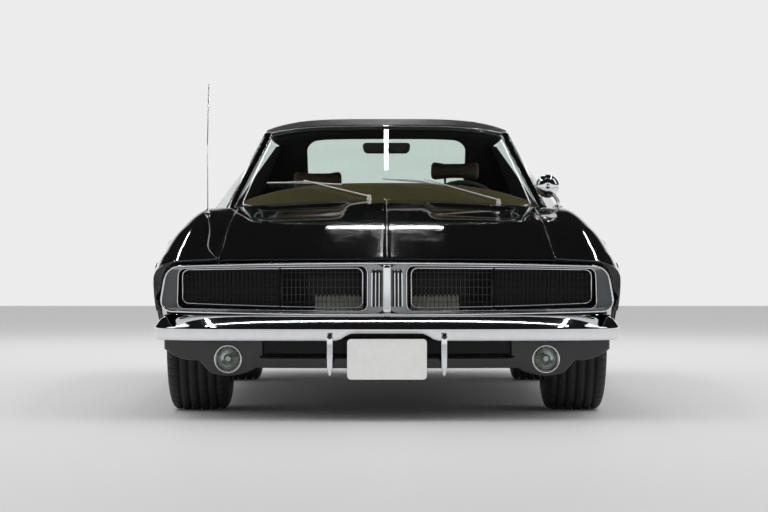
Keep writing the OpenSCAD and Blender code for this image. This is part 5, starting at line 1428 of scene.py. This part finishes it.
piece("inside_mirror_pane", face, [tuple(range(len(face)))], MIRROR, solid=1, smooth=False)

# Engine dress, under parts
bank = ((100, 690), (100, 722), (116, 738), (226, 738), (244, 722), (244, 690))
bank = loft([[(x, y, z) for x, z in bank] for y in (-1720, -1120)])
both("valve_cover", bank, IRON, bevel=6)
cleaner = ((690, 0.5), (690, 60), (706, 60), (706, 176), (712, 184), (752, 184), (758, 178), (758, 30),
           (764, 26), (766, 0.5))
piece("air_cleaner", *revolve(cleaner, (0, -1430, 0), "z", 64), BLACK, slot="running_gear")
for node, mat, bevel in (
        ("floor_pan", UNDER, 2), ("front_structure", UNDER, 2), ("fire_wall", UNDER, 2), ("engine", IRON, 8),
        ("radiator", BLACK, 3), ("front_suspension", IRON, 3), ("rear_axle_beam", IRON, 3),
        ("leaf_springs", IRON, 2), ("fuel_tank", UNDER, 8), ("knuckle_left", IRON, 2),
        ("knuckle_right", IRON, 2)):
    dress(node, mat, bevel)

# Camera at the photograph's place

cam = add("camera", bpy.data.cameras.new("camera"))
cam.location = (-0.012, -13.45, 0.637)
cam.rotation_euler = (pi / 2, 0, 0)
cam.data.lens = 127.5
cam.data.sensor_width = 36
cam.data.shift_y = 5.8 / 768
cam.data.clip_end = 100
bpy.context.scene.camera = cam

# Floor, backdrop and light; from here on in metres

FLOOR_GREY, LOW_SKY, HIGH_SKY, FILL = 0.74, 0.84, 0.008, 0.85
LAMP_HEIGHT, STRIP_END = 4.4, 10

pale, tree = new_material("pale_floor")
tree.nodes["Principled BSDF"].inputs["Base Color"].default_value = (FLOOR_GREY, FLOOR_GREY, FLOOR_GREY, 1)
tree.nodes["Principled BSDF"].inputs["Roughness"].default_value = 0.55
v, f = box((-40, 40), (-40, 25.8), (-0.02, 0))
floor = add("floor", bpy.data.meshes.new("floor"))
floor.data.from_pydata(v, [], f)
floor.data.materials.append(pale)

world = bpy.data.worlds.new("studio")
bpy.context.scene.world = world
world.use_nodes = True
sky = world.node_tree
where, split, path = (shader(sky, kind) for kind in ("TexCoord", "SeparateXYZ", "LightPath"))
fade = ramp_of(sky, (0.10, [LOW_SKY] * 3), (0.17, [HIGH_SKY] * 3))
mix = shader(sky, "Mix")
mix.data_type = "RGBA"
mix.inputs["B"].default_value = (FILL, FILL, FILL, 1)
link(sky, (where, "Generated", split, "Vector"), (split, "Z", fade, "Fac"),
     (path, "Is Diffuse Ray", mix, "Factor"), (fade, "Color", mix, "A"),
     (mix, "Result", sky.nodes["Background"], "Color"))


def lamp(name, place, aim, size, power, size_y=None):
    d = bpy.data.lights.new(name, "AREA")
    d.energy = power
    d.size = size
    if size_y:
        d.shape = "RECTANGLE"
        d.size_y = size_y
    o = add(name, d)
    o.location = place
    o.rotation_euler = (Vector(aim) - Vector(place)).to_track_quat("-Z", "Y").to_euler()


def strip(name, x, y, size, power, size_y):
    """A thin lamp that looks straight down."""
    lamp(name, (x, y, LAMP_HEIGHT), (x, y, 0), size, power, size_y)


for x, y0, width, power in ((0, 0.62, 0.05, 30), (-2.3, -4, 0.08, 60), (2.3, -4, 0.08, 60)):
    strip("strip_%d" % round(x), x, (y0 + STRIP_END) / 2, width, power, STRIP_END - y0)
strip("strip_across", 0, 8.2, 1.1, 6, 0.03)
strip("strip_front", 0, -3.6, 5.0, 6, 0.04)
for x in (-6.5, 6.5):
    lamp("side_%d" % round(x), (x, -3.0, 5.0), (0, -0.6, 0.5), 2.2, 40, 5.0)
    lamp("rear_%d" % round(x), (x * 0.7, 7.5, 4.6), (0, 1.2, 0.6), 2.2, 40)

bpy.context.scene.view_settings.view_transform = "Standard"
